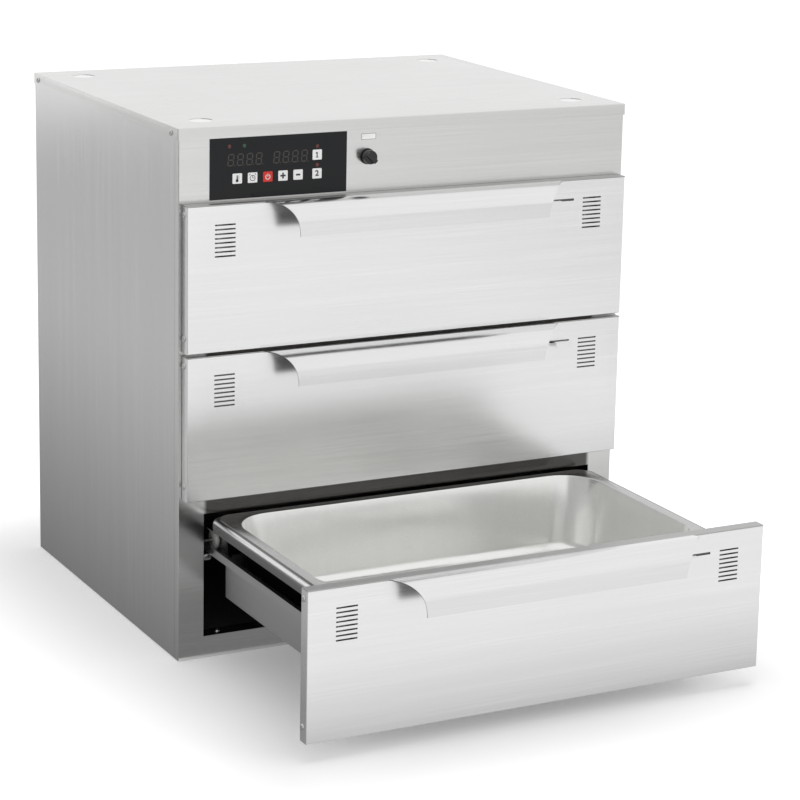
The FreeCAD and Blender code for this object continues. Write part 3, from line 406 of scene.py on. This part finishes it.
# The heated space: thin steel walls, darkened as painted shade for the unlit inside, with stains in
# drifting patches, and stiff mineral wool slabs between them and the shell.
def shaded_liner_steel(name, code):
    """Dull liner sheet, darkened as painted shade and stained in drifting patches."""
    material, tree, place = new_material(name)
    stain = noise(tree, place, (9.0, 9.0, 9.0), 6.0, 0.62)
    fine = noise(tree, place, (500.0, 6.0, 500.0))
    base = mixed(tree, spread(tree, stain, 0.0, 1.0), shaded(code, 0.62), shaded(code, 1.25))
    base = mixed(tree, spread(tree, fine, 0.0, 0.4), base, shaded(code, 0.75))
    finish_surface(tree, base, 0.5, spread(tree, stain, 0.42, 0.62), fine, 0.1)
    return material


def wool(name, code):
    """Pressed mineral fibres with darker binder specks."""
    material, tree, place = new_material(name)
    fibre = noise(tree, place, (140.0, 140.0, 900.0), 5.0, 0.7)
    clump = noise(tree, place, (40.0, 40.0, 40.0), 3.0)
    base = mixed(tree, spread(tree, fibre, 0.0, 1.0), shaded(code, 0.72), shaded(code, 1.12))
    base = mixed(tree, spread(tree, clump, 0.0, 0.5), base, shaded(code, 0.8))
    finish_surface(tree, base, 0.0, 0.95, fibre, 0.8, 0.0015)
    return material


# Painted shade: the liner is dark so that the inside of the cabinet looks unlit.
dress("liner_panels", shaded_liner_steel("liner_painted_shade", "6a6866"))
dress("insulation_slabs", wool("mineral_wool_slab", "c9bd98"))


# Heating elements and the temperature probe, fixed through the rear wall. Their incoloy sheaths have
# run hot, and are dark and slightly mottled.
def hot_sheath(name, code, metallic):
    """Oxidised sheath with a faint blue and straw tint."""
    material, tree, place = new_material(name)
    scale = noise(tree, place, (160.0, 160.0, 160.0), 5.0)
    tint = noise(tree, place, (18.0, 18.0, 18.0), 2.0)
    base = mixed(tree, spread(tree, tint, 0.0, 1.0), linear("3d434f"), linear("5b5046"))
    base = mixed(tree, spread(tree, scale, 0.0, 1.0), base, linear(code))
    finish_surface(tree, base, metallic, spread(tree, scale, 0.38, 0.6), scale, 0.3, 0.0002)
    return material


dress("heater_elements", hot_sheath("heater_sheath_oxide", "54504c", 0.8))
dress("temperature_probe", hot_sheath("probe_sheath", "8c8a86", 0.9))


# Rollers: white nylon wheels at the drawers' rear and above their runners, and plain turned support
# rollers under the runners. All of them spin on turned steel pins.
def turned_steel(name, code, roughness=0.24):
    """Lathe-turned steel with fine tool rings."""
    material, tree, place = new_material(name)
    rings = noise(tree, place, (900.0, 40.0, 40.0), 2.0)
    dust = noise(tree, place, (90.0, 90.0, 90.0), 4.0)
    base = mixed(tree, spread(tree, rings, 0.0, 1.0), shaded(code, 0.86), shaded(code, 1.1))
    finish_surface(tree, base, 1.0, spread(tree, dust, roughness - 0.06, roughness + 0.08), rings, 0.12)
    return material


def moulded_plastic(name, code, roughness, mottle=0.06, relief=0.15, **sockets):
    """Moulded plastic with a fine eroded skin and slight colour drift."""
    material, tree, place = new_material(name)
    grain = noise(tree, place, (1100.0, 1100.0, 1100.0), 2.0)
    drift = noise(tree, place, (35.0, 35.0, 35.0), 3.0)
    base = mixed(tree, spread(tree, drift, 0.0, 1.0), shaded(code, 1 - mottle), shaded(code, 1 + mottle))
    rough = spread(tree, drift, roughness - 0.05, roughness + 0.05)
    finish_surface(tree, base, 0.0, rough, grain, relief, **sockets)
    return material


bright_turned = turned_steel("turned_steel", "c8c8c8")
nylon = moulded_plastic("white_nylon", "ecebe6", 0.42)
smooth_copy("roller_pins", "cabinet", [bright_turned])
drawers = (1, 2, 3)
for number in drawers:
    for kind in ("rear_rollers", "hold_rollers"):
        smooth_copy(f"{kind}_{number}", f"{kind}_{number}", [nylon])
    smooth_copy(f"support_rollers_{number}", f"support_rollers_{number}", [bright_turned])


# Drawer fronts: an outer tray of brushed sheet with punched vents, an inner tray screwed into it,
# and the vent shutter with its bent tab between the two. The shutter's inside, behind the vents, is
# darkened as painted shade. The third drawer is pulled out.
front_face_y = -269.5
pulled = {1: 0.0, 2: 0.0, 3: 348.0}
front_steel = brushed_steel("brushed_stainless_front", "f0f0f0", 0, 0.23)
shutter_steel = brushed_steel("bright_shutter_sheet", "eeeeee", 0, 0.22)
# Painted shade: the shutter's inside is a dark copy of the shutter sheet.
shutter_inside_shade = brushed_steel("shutter_sheet_painted_shade", "626261", 0, 0.4)
tray_steel = brushed_steel("satin_inner_tray", "f6f6f6", 0, 0.42, metallic=0.6)


def shutter_face(tab_y):
    """Picks the shutter's bright tab, which stands out in front of tab_y, or its inside, darkened as
    painted shade.
    """
    return lambda face: int(face.calc_center_median().y < tab_y / 1000)


for number in drawers:
    smooth_copy(f"front_skin_{number}", f"drawer_{number}", [front_steel])
    dress(f"front_liner_{number}", tray_steel)
    smooth_copy(f"vent_shutter_{number}", f"vent_shutter_{number}",
                [shutter_inside_shade, shutter_steel], shutter_face(front_face_y - pulled[number]))


# Handle hoods and top ledges, folded from one brushed sheet on top of each front. The hood is rolled
# forward and down into a full-length grip, with its two ends cut back along a curve, and its inner face
# is darkened as painted shade. The ledge is the flat strip behind it, darkened as painted shade, as wide
# as the front, with its upper edges just broken.
hood_steel = brushed_steel("brushed_stainless_hood", "e8e8e8", 0, 0.22, relief=0.01)
# Painted shade: the hood's inner face is darker than its outer face.
hood_inside_shade = brushed_steel("hood_inside_painted_shade", "8c8c8b", 0, 0.4)
# Painted shade: the ledge is darker than the hood, though both are one sheet.
ledge_shade_steel = brushed_steel("folded_ledge_painted_shade", "b0b0af", 0, 0.32, relief=0.002)
sheet = 1.2
front_rear_y = -253.5
front_half = 305.5
lowest_front = 24.0
front_height = 182.0
front_pitch = 186.0
front_feet = {3: lowest_front, 2: lowest_front + front_pitch, 1: lowest_front + 2 * front_pitch}
hood_half = 203.4
hood_radius = 24.0
hood_reach = 37.0
hood_rise = 2.0
hood_drop = 39.0
hood_tuck = 0.8
hood_end_inset = 30.0
hood_crest_y = front_face_y - (hood_reach - hood_radius)
fold_run = 1.0
fold_rise = 0.15
arc_steps = 20
grip_steps = 3
hood_columns = 8
ledge_middle_y = (front_face_y + front_rear_y) / 2
ledge_size = (2 * front_half, front_rear_y - front_face_y, sheet)
ledge_edge = 0.3


def hood_profile(top):
    """Y and Z of the sheet's outer face, from the ledge's front edge to the grip's foot."""
    crest_z = top + hood_rise
    line = [(front_face_y, top), (front_face_y - fold_run, top + fold_rise),
            ((front_face_y + hood_crest_y) / 2, top + hood_rise / 2 + fold_rise)]
    for step in range(arc_steps + 1):
        angle = math.pi / 2 * (1 + step / arc_steps)
        line.append((hood_crest_y + hood_radius * math.cos(angle),
                     crest_z - hood_radius * (1 - math.sin(angle))))
    nose_y, nose_z = line[-1]
    for step in range(1, grip_steps + 1):
        line.append((nose_y + hood_tuck * step / grip_steps,
                     nose_z + (top - hood_drop - nose_z) * step / grip_steps))
    return line


def end_inset(y, z, top):
    """How far the sheet's end is cut back at a point of the profile."""
    if y > hood_crest_y + 0.01:
        return 0.0
    share = (z - top + hood_drop) / (hood_drop + hood_rise)
    return hood_end_inset * math.sqrt(max(0.0, 1 - share * share))


for number, foot in front_feet.items():
    top = foot + front_height
    profile = hood_profile(top)
    rows = len(profile) - 1
    builder = bmesh.new()
    bmesh.ops.create_grid(builder, x_segments=hood_columns, y_segments=rows, size=1.0)
    for vert in builder.verts:
        y, z = profile[round((vert.co.y + 1) / 2 * rows)]
        x = vert.co.x * (hood_half - end_inset(y, z, top))
        vert.co = Vector((x, y - pulled[number], z)) / 1000
    bmesh.ops.recalc_face_normals(builder, faces=builder.faces)
    crest = max(builder.faces, key=lambda item: item.calc_center_median().z)
    if crest.normal.z < 0:
        bmesh.ops.reverse_faces(builder, faces=builder.faces)
    outer_count = len(builder.faces)
    bmesh.ops.solidify(builder, geom=builder.faces[:], thickness=sheet / 1000)
    for face in builder.faces[outer_count:]:
        face.material_index = 1
    hood = new_object(f"rolled_hood_{number}", builder, hood_steel, hood_inside_shade)
    smooth_by_angle(hood, 30)
    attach(hood, f"drawer_{number}")
    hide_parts(f"handle_hood_{number}")
    builder = bmesh.new()
    bmesh.ops.create_cube(builder, size=1.0)
    size = Matrix.Diagonal((*(length / 1000 for length in ledge_size), 1.0))
    middle = Vector((0, ledge_middle_y - pulled[number], top - sheet / 2)) / 1000
    bmesh.ops.transform(builder, matrix=Matrix.Translation(middle) @ size, verts=builder.verts)
    upper = [edge for edge in builder.edges if min(vert.co.z for vert in edge.verts) > middle.z]
    bmesh.ops.bevel(builder, geom=upper, offset=ledge_edge / 1000, affect="EDGES", segments=2,
                    profile=0.5, material=-1)
    ledge = new_object(f"top_ledge_{number}", builder, ledge_shade_steel)
    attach(ledge, f"drawer_{number}")


# Screws: stainless pan heads with a cross recess, turned and then struck. They are in the drawer fronts'
# side flanges, the lid's lips, the back sheet and the floor of the lowest opening.
screw_steel = turned_steel("polished_screw_steel", "d4d4d4", 0.18)
head_profile = [(0.0, 2.2), (1.6, 2.12), (2.7, 1.75), (3.35, 1.15), (3.7, 0.45), (3.7, 0.0), (2.0, 0.0)]
thread_crest = 2.0
thread_root = 1.7
thread_step = 0.5
thread_points = 13
screw_tip = (0.0, -7.0)
recess_size = (4.1, 0.8, 3.0)
recess_taper = (0.35, 0.7, 1.0)
recess_height = 2.4
turn_between_screws = 0.7


def turned_screw(name):
    """A domed head with its threaded shank, pointing up from its seat, as an object still uncut."""
    shank = [(thread_crest if step % 2 else thread_root, -thread_step * (step + 1))
             for step in range(thread_points)]
    builder = bmesh.new()
    points = [builder.verts.new((radius / 1000, 0, height / 1000))
              for radius, height in head_profile + shank + [screw_tip]]
    edges = [builder.edges.new(pair) for pair in zip(points, points[1:])]
    bmesh.ops.spin(builder, geom=points + edges, cent=(0, 0, 0), axis=(0, 0, 1), angle=2 * math.pi,
                   steps=28, use_merge=True)
    bmesh.ops.remove_doubles(builder, verts=builder.verts, dist=weld_distance)
    bmesh.ops.recalc_face_normals(builder, faces=builder.faces)
    return new_object(name, builder)


def recess_cutter(name, quarter):
    """One tapered blade of the cross, as an object that cuts."""
    builder = bmesh.new()
    bmesh.ops.create_cube(builder, size=1.0)
    size = Matrix.Diagonal((*(length / 1000 for length in recess_size), 1.0))
    bmesh.ops.transform(builder, matrix=size, verts=builder.verts)
    low_ring = [vert for vert in builder.verts if vert.co.z < 0]
    bmesh.ops.scale(builder, vec=recess_taper, verts=low_ring)
    raised = Matrix.Translation((0, 0, recess_height / 1000))
    crossed = Matrix.Rotation(quarter * math.pi / 2, 4, "Z")
    bmesh.ops.transform(builder, matrix=raised @ crossed, verts=builder.verts)
    return new_object(name, builder)


def cross_head_screws(name, body, replaced, seats):
    """One piece with a screw at every seat, which is a point and the way that the screw points."""
    turned = turned_screw(name + "_turned")
    cutters = [recess_cutter(name + "_cutter", quarter) for quarter in (0, 1)]
    for cutter in cutters:
        slot_cut = turned.modifiers.new("cross_recess", "BOOLEAN")
        slot_cut.operation = "DIFFERENCE"
        slot_cut.solver = "EXACT"
        slot_cut.object = cutter
    bpy.context.view_layer.update()
    graph = bpy.context.evaluated_depsgraph_get()
    cut_mesh = bpy.data.meshes.new_from_object(turned.evaluated_get(graph))
    for item in [turned] + cutters:
        bpy.data.objects.remove(item)
    builder = bmesh.new()
    for step, (seat, inward) in enumerate(seats):
        copy = cut_mesh.copy()
        facing = (-Vector(inward)).to_track_quat("Z", "Y").to_matrix().to_4x4()
        turned_by = Matrix.Rotation(turn_between_screws * step, 4, "Z")
        copy.transform(Matrix.Translation(Vector(seat) / 1000) @ facing @ turned_by)
        builder.from_mesh(copy)
        bpy.data.meshes.remove(copy)
    piece = new_object(name, builder, screw_steel)
    smooth_by_angle(piece, 35)
    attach(piece, body)
    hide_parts(replaced)


flange_screw_inset = 6.0
flange_screw_heights = (18.0, 170.0)
for number, foot in front_feet.items():
    seats = []
    for side in (-1, 1):
        for height in flange_screw_heights:
            seat = (side * front_half, front_rear_y - flange_screw_inset - pulled[number], foot + height)
            seats.append((seat, (-side, 0, 0)))
    cross_head_screws(f"front_cross_screws_{number}", f"drawer_{number}", f"front_screws_{number}", seats)

lip_screw = (311.5, (-232.0, 237.5), 662.0)
floor_screw = (252.0, -239.5, 28.5)
back_screw = (302.0, 252.5, (60.0, 330.0, 600.0))
shell_seats = []
for side in (-1, 1):
    for depth in lip_screw[1]:
        shell_seats.append(((side * lip_screw[0], depth, lip_screw[2]), (-side, 0, 0)))
    shell_seats.append(((side * floor_screw[0], floor_screw[1], floor_screw[2]), (0, 0, -1)))
    for height in back_screw[2]:
        shell_seats.append(((side * back_screw[0], back_screw[1], height), (0, -1, 0)))
cross_head_screws("cabinet_cross_screws", "cabinet", "cabinet_screws", shell_seats)


# Pans, the frames that carry them and their runners. The pans are deep-drawn stainless with a satin
# inside; their rim tops and their outsides are darkened as painted shade. The frames and runners are
# folded from bright sheet, and the frames' flat faces are darkened as painted shade.
def drawn_steel(name, code, roughness, metallic=1.0, **sockets):
    """Deep-drawn satin stainless, without a straight grain, with fine draw marks and rub marks."""
    material, tree, place = new_material(name)
    satin = noise(tree, place, (700.0, 700.0, 700.0), 2.0)
    draw = noise(tree, place, (60.0, 60.0, 5.0), 3.0)
    rub = noise(tree, place, (14.0, 14.0, 14.0), 5.0, 0.65)
    base = mixed(tree, spread(tree, satin, 0.0, 1.0), shaded(code, 0.94), shaded(code, 1.04))
    base = mixed(tree, spread(tree, draw, 0.0, 0.6), base, shaded(code, 0.95))
    rough = spread(tree, rub, roughness - 0.03, roughness + 0.03)
    finish_surface(tree, base, metallic, rough, satin, 0.02, **sockets)
    return material


# Painted shade: a grey specular tint that dims the grazing reflection of the pan's outside and the
# frame's flats.
shaded_edge_tint = {"Specular Tint": linear("a8a8a8")}
pan_steel = drawn_steel("deep_drawn_satin", "f5f5f3", 0.19, 0.7)
# Painted shade: the rim's flat top is a darker copy of the pan's steel.
rim_shade_steel = drawn_steel("pan_rim_painted_shade", "bcbcbb", 0.22)
# Painted shade: the pan's outside is near black, where it stands in shade.
pan_outside_shade_steel = drawn_steel("pan_outside_painted_shade", "2c2a29", 0.4, **shaded_edge_tint)
carrier_steel = brushed_steel("bright_carrier_sheet", "e6e6e6", 1, 0.2, relief=0.01)
# Painted shade: the frame's flat faces are darker than its rolled crown.
flange_shade_steel = brushed_steel("carrier_flange_painted_shade", "a2a2a1", 1, 0.24, relief=0.01, **shaded_edge_tint)
runner_steel = brushed_steel("folded_runner_sheet", "c4c4c4", 1, 0.32)
rim_height = 162.5
rim_top_band = 0.0004
rim_under_band = 0.0015
closed_pan_y = -76.5


def outward(middle, face, middle_y):
    """Whether a face looks away from the pan's middle."""
    return middle.x * face.normal.x + (middle.y - middle_y) * face.normal.y > 0


def pan_face(level, middle_y):
    """Picks the rim's flat top or the outside, both darkened as painted shade, or the bright inside."""
    def choose(face):
        middle = face.calc_center_median()
        if face.normal.z > 0.9 and middle.z > level - rim_top_band:
            return 1
        outside = outward(middle, face, middle_y) and middle.z < level - rim_under_band
        if face.normal.z < -0.3 or outside:
            return 2
        return 0
    return choose


def pan_mouth(level, middle_y):
    """Picks the edge where the rim's flat top turns down into the pan."""
    def rounded(edge):
        if len(edge.link_faces) != 2 or any(abs(vert.co.z - level) > 1e-5 for vert in edge.verts):
            return False
        upper, side = sorted(edge.link_faces, key=lambda face: -face.normal.z)
        corner = edge.verts[0].co
        inward = corner.x * side.normal.x + (corner.y - middle_y) * side.normal.y < 0
        return upper.normal.z > 0.9 and side.normal.z < 0.5 and inward
    return rounded


def carrier_face(face):
    """Picks the bright crown of the frame's rolled edge or its flat faces, darkened as painted shade."""
    return 0 if 0.35 < face.normal.z < 0.97 else 1


for number, foot in front_feet.items():
    level = (foot + rim_height) / 1000
    middle_y = (closed_pan_y - pulled[number]) / 1000
    smooth_copy(f"pan_{number}", f"drawer_{number}", [pan_steel, rim_shade_steel, pan_outside_shade_steel],
                pan_face(level, middle_y), pan_mouth(level, middle_y))
    smooth_copy(f"carrier_frame_{number}", f"drawer_{number}",
                [carrier_steel, flange_shade_steel], carrier_face)
    dress(f"runners_{number}", runner_steel)


# Control film: a black printed polyester film with a satin gloss. It is stuck flat on the fascia,
# over the window of the displays and keys.
film_black = moulded_plastic("satin_black_film", "111316", 0.16, 0.08, 0.03,
                             **{"Specular IOR Level": 0.3})
dress("membrane_panel", film_black)
face_y = -252.5
film_thickness = 0.8
film_front = face_y - film_thickness


# Displays: two rows of four seven-segment digits, each with its point, moulded in plastic. They are
# held behind the film on the control board, and show dimly through it while they are unlit.
def raised_outline(builder, outline, behind, thickness):
    """A thin flat plate with that outline in X and Z, standing out from what is behind it."""
    corners = [builder.verts.new((x / 1000, (behind - thickness) / 1000, z / 1000)) for x, z in outline]
    flat = builder.faces.new(corners)
    grown = bmesh.ops.extrude_face_region(builder, geom=[flat])
    moved = [item for item in grown["geom"] if isinstance(item, bmesh.types.BMVert)]
    bmesh.ops.translate(builder, vec=(0, thickness / 1000, 0), verts=moved)


def thin_piece(name, builder, body, slot, *materials):
    """Turns built geometry into a piece that rides on a body."""
    bmesh.ops.recalc_face_normals(builder, faces=builder.faces)
    piece = new_object(name, builder, *materials)
    smooth_by_angle(piece, 30)
    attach(piece, body)


digit_grey = moulded_plastic("unlit_segments", "3c3732", 0.3)
print_thickness = 0.05
display_lefts = (-249.2, -188.8)
first_digit_inset = 2.4
digits_in_row = 4
digit_foot = 621.3
digit_height = 13.6
digit_width = 7.0
digit_pitch = 12.3
digit_slant = 0.09
segment_half = 0.75
segment_gap = 0.35
point_offset = 2.0
point_radius = 0.75
point_sides = 12
angles = [step * 2 * math.pi / point_sides for step in range(point_sides)]
builder = bmesh.new()
digit_lefts = [start + first_digit_inset + place * digit_pitch
               for start in display_lefts for place in range(digits_in_row)]
for left in digit_lefts:
    right = left + digit_width
    middle = digit_foot + digit_height / 2
    bars = [(left, z, right, z) for z in (digit_foot, middle, digit_foot + digit_height)]
    bars += [(x, z, x, z + digit_height / 2) for x in (left, right) for z in (digit_foot, middle)]
    for x0, z0, x1, z1 in bars:
        half = segment_half
        tip = segment_gap
        if z0 == z1:
            line = [(x0 + tip, z0), (x0 + tip + half, z0 + half), (x1 - tip - half, z0 + half),
                    (x1 - tip, z0), (x1 - tip - half, z0 - half), (x0 + tip + half, z0 - half)]
        else:
            line = [(x0, z0 + tip), (x0 - half, z0 + tip + half), (x0 - half, z1 - tip - half),
                    (x0, z1 - tip), (x0 + half, z1 - tip - half), (x0 + half, z0 + tip + half)]
        leaning = [(x + digit_slant * (z - digit_foot), z) for x, z in line]
        raised_outline(builder, leaning, film_front, print_thickness)
    point_middle = right + point_offset
    point = [(point_middle + point_radius * math.cos(angle), digit_foot + point_radius * math.sin(angle))
             for angle in angles]
    raised_outline(builder, point, film_front, print_thickness)
thin_piece("display_digits", builder, "cabinet", "membrane_black", digit_grey)


# Keys: rounded square caps of white moulded plastic, the power key red, standing through the film.
# Each carries a sign printed on its face.
key_white = moulded_plastic("white_key_plastic", "ffffff", 0.35, 0.03)
key_red = moulded_plastic("red_key_plastic", "dd2a22", 0.35, 0.05)
print_black = moulded_plastic("black_key_print", "202124", 0.4)
print_white = moulded_plastic("white_key_print", "ededed", 0.4, 0.03)
key_stand = 1.1
key_front = face_y - key_stand
key_row_z = 605.2
numeral_size = 9.5
numeral_boldness = 0.3
numeral_lift = 0.03
key_middles = {"key_temperature": (-234.3, key_row_z), "key_timer": (-214.15, key_row_z),
               "key_power": (-194.0, key_row_z), "key_plus": (-173.85, key_row_z),
               "key_minus": (-153.7, key_row_z), "key_zone_2": (-128.2, key_row_z),
               "key_zone_1": (-128.2, 628.4)}
for name in key_middles:
    dress(name, key_red if name == "key_power" else key_white)


def printed(builder, outline):
    """A shape printed on a key's face."""
    raised_outline(builder, outline, key_front, print_thickness)


def bar_sign(builder, x, z, width, height):
    """A printed bar round a middle point."""
    printed(builder, [(x - width / 2, z - height / 2), (x + width / 2, z - height / 2),
                      (x + width / 2, z + height / 2), (x - width / 2, z + height / 2)])


least_arc_steps = 6
arc_step_degrees = 12


def arc_sign(builder, x, z, radius, width, start, sweep):
    """A printed arc of a circle, whose angles are in degrees from the right."""
    inner = radius - width / 2
    outer = radius + width / 2
    steps = max(least_arc_steps, int(abs(sweep) / arc_step_degrees))
    for step in range(steps):
        first = math.radians(start + sweep * step / steps)
        second = math.radians(start + sweep * (step + 1) / steps)
        ends = ((inner, first), (outer, first), (outer, second), (inner, second))
        printed(builder, [(x + reach * math.cos(angle), z + reach * math.sin(angle))
                          for reach, angle in ends])


def numeral_sign(name, text, x, z):
    """A printed numeral on a key."""
    curve = bpy.data.curves.new(name, "FONT")
    curve.body = text
    curve.size = numeral_size / 1000
    curve.align_x = "CENTER"
    curve.align_y = "CENTER"
    curve.extrude = print_thickness / 2000
    curve.offset = numeral_boldness / 1000
    lettering = bpy.data.objects.new(name + "_curve", curve)
    bpy.context.scene.collection.objects.link(lettering)
    bpy.context.view_layer.update()
    graph = bpy.context.evaluated_depsgraph_get()
    mesh = bpy.data.meshes.new_from_object(lettering.evaluated_get(graph))
    bpy.data.objects.remove(lettering)
    upright = Matrix.Rotation(math.pi / 2, 4, "X")
    mesh.transform(Matrix.Translation((x / 1000, (key_front - numeral_lift) / 1000, z / 1000)) @ upright)
    mesh.materials.clear()
    mesh.materials.append(print_black)
    piece = bpy.data.objects.new(name, mesh)
    bpy.context.scene.collection.objects.link(piece)
    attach(piece, name.replace("_sign", ""))


# The signs: a thermometer with its scale, an alarm clock, a broken ring with a stroke, plus, minus and
# the numbers of the two zones. Bars give their middle from the key's, width and height, and arcs
# their middle, radius, width, start and sweep.
sign_bars = {"key_temperature": [(-0.2, 1.2, 1.5, 5.6), (1.9, 3.2, 1.3, 0.5), (1.9, 1.7, 1.3, 0.5),
                                 (1.9, 0.2, 1.3, 0.5)],
             "key_timer": [(0.0, 0.8, 0.7, 2.4), (0.9, -0.4, 1.8, 0.7)],
             "key_power": [(0.0, 1.9, 1.0, 3.4)],
             "key_plus": [(0.0, 0.0, 7.2, 2.1), (0.0, 2.33, 2.1, 2.5), (0.0, -2.33, 2.1, 2.5)],
             "key_minus": [(0.0, 0.0, 5.6, 2.1)],
             "key_zone_1": [(-0.2, -3.1, 3.6, 0.8)]}
sign_arcs = {"key_temperature": [(-0.2, -2.5, 0.95, 1.9, 0, 360)],
             "key_timer": [(0.0, -0.5, 3.3, 0.8, 0, 360), (-2.9, 3.1, 1.3, 0.9, 90, 90),
                           (2.9, 3.1, 1.3, 0.9, 0, 90)],
             "key_power": [(0.0, -0.3, 2.9, 1.0, 118, 304)]}
one_stroke = [(0.5, -3.4), (0.5, 3.4), (-0.6, 3.4), (-2.1, 2.2), (-2.1, 1.0), (-0.9, 1.7), (-0.9, -3.4)]
for name, (x, z) in key_middles.items():
    if name == "key_zone_2":
        numeral_sign(name + "_sign", "2", x, z)
        continue
    signs = bmesh.new()
    if name == "key_zone_1":
        printed(signs, [(x + across, z + up) for across, up in one_stroke])
    for across, up, width, height in sign_bars[name]:
        bar_sign(signs, x + across, z + up, width, height)
    for across, up, *bow in sign_arcs.get(name, []):
        arc_sign(signs, x + across, z + up, *bow)
    if name == "key_power":
        thin_piece(name + "_sign", signs, name, "key_white", print_white)
    else:
        thin_piece(name + "_sign", signs, name, "membrane_black", print_black)


# Indicator lamps: small domed lenses of tinted diffusing plastic, three red and one green, unlit.
# They are pushed through the film, two above the left display and one above each zone's key.
def lamp_lens(name, code):
    """Tinted diffusing lens with a clear skin."""
    return moulded_plastic(name, code, 0.22, 0.12, 0.05, **{"Coat Weight": 0.4, "Coat Roughness": 0.1})


lens_red = lamp_lens("red_lamp_lens", "5c100e")
lens_green = lamp_lens("green_lamp_lens", "124831")
dress("indicator_lamps", lens_red)
lens_radius = 2.5
lens_flatness = 0.3
lens_lift = 0.2
lamp_middles = {"lamp_heat": (-245.0, 644.8), "lamp_run": (-225.4, 644.8),
                "lamp_zone_1": (-128.2, 638.9), "lamp_zone_2": (-128.2, 615.7)}
for name, (x, z) in lamp_middles.items():
    builder = bmesh.new()
    bmesh.ops.create_uvsphere(builder, u_segments=24, v_segments=12, radius=lens_radius / 1000)
    bmesh.ops.scale(builder, vec=(1.0, lens_flatness, 1.0), verts=builder.verts)
    behind = [vert for vert in builder.verts if vert.co.y > 1e-5]
    bmesh.ops.delete(builder, geom=behind, context="VERTS")
    rim = [edge for edge in builder.edges if edge.is_boundary]
    bmesh.ops.holes_fill(builder, edges=rim)
    lens_place = Vector((x / 1000, (film_front - lens_lift) / 1000, z / 1000))
    bmesh.ops.translate(builder, vec=lens_place, verts=builder.verts)
    lens = lens_green if name == "lamp_run" else lens_red
    thin_piece(name + "_lens", builder, "cabinet", "lamp_lens", lens)


# Fuse holder: a body of moulded black phenolic that sits through the fascia on its flange, and
# a bayonet cap with a finger bar, which turns to open.
phenolic = moulded_plastic("black_phenolic", "1d1d1e", 0.3, 0.1, 0.2)
smooth_copy("fuse_holder", "cabinet", [phenolic])
smooth_copy("fuse_cap", "fuse_cap", [phenolic])


# Plate above the fuse: a small bare aluminium plate, stuck on. Its face lies a little deeper than its
# border, which is printed grey.
plate_metal = brushed_steel("anodised_plate", "f4f4f4", 0, 0.3)
plate_print = moulded_plastic("grey_plate_print", "6c6c6c", 0.4)
plate_left = -68.0
plate_right = -48.0
plate_low = 643.4
plate_high = 650.8
plate_thickness = 0.3
plate_border = 0.7
plate_sink = 0.15
plate_corners = [(plate_left, plate_low), (plate_right, plate_low), (plate_right, plate_high),
                 (plate_left, plate_high)]
builder = bmesh.new()
raised_outline(builder, plate_corners, face_y, plate_thickness)
plate_face = min(builder.faces, key=lambda item: item.calc_center_median().y)
framed = bmesh.ops.inset_region(builder, faces=[plate_face], thickness=plate_border / 1000)
for face in framed["faces"]:
    face.material_index = 1
bmesh.ops.translate(builder, vec=(0, plate_sink / 1000, 0), verts=plate_face.verts)
thin_piece("bare_plate", builder, "cabinet", "cabinet_steel", plate_metal, plate_print)


# Control board behind the fascia, of green laminate with its modules, and the black nylon cable gland
# screwed into the back sheet.
dress("control_board", moulded_plastic("green_laminate", "23603f", 0.4, 0.2, 0.3))
gland_nylon = moulded_plastic("black_gland_nylon", "262626", 0.5, 0.08, 0.25)
smooth_copy("cable_gland", "cabinet", [gland_nylon])
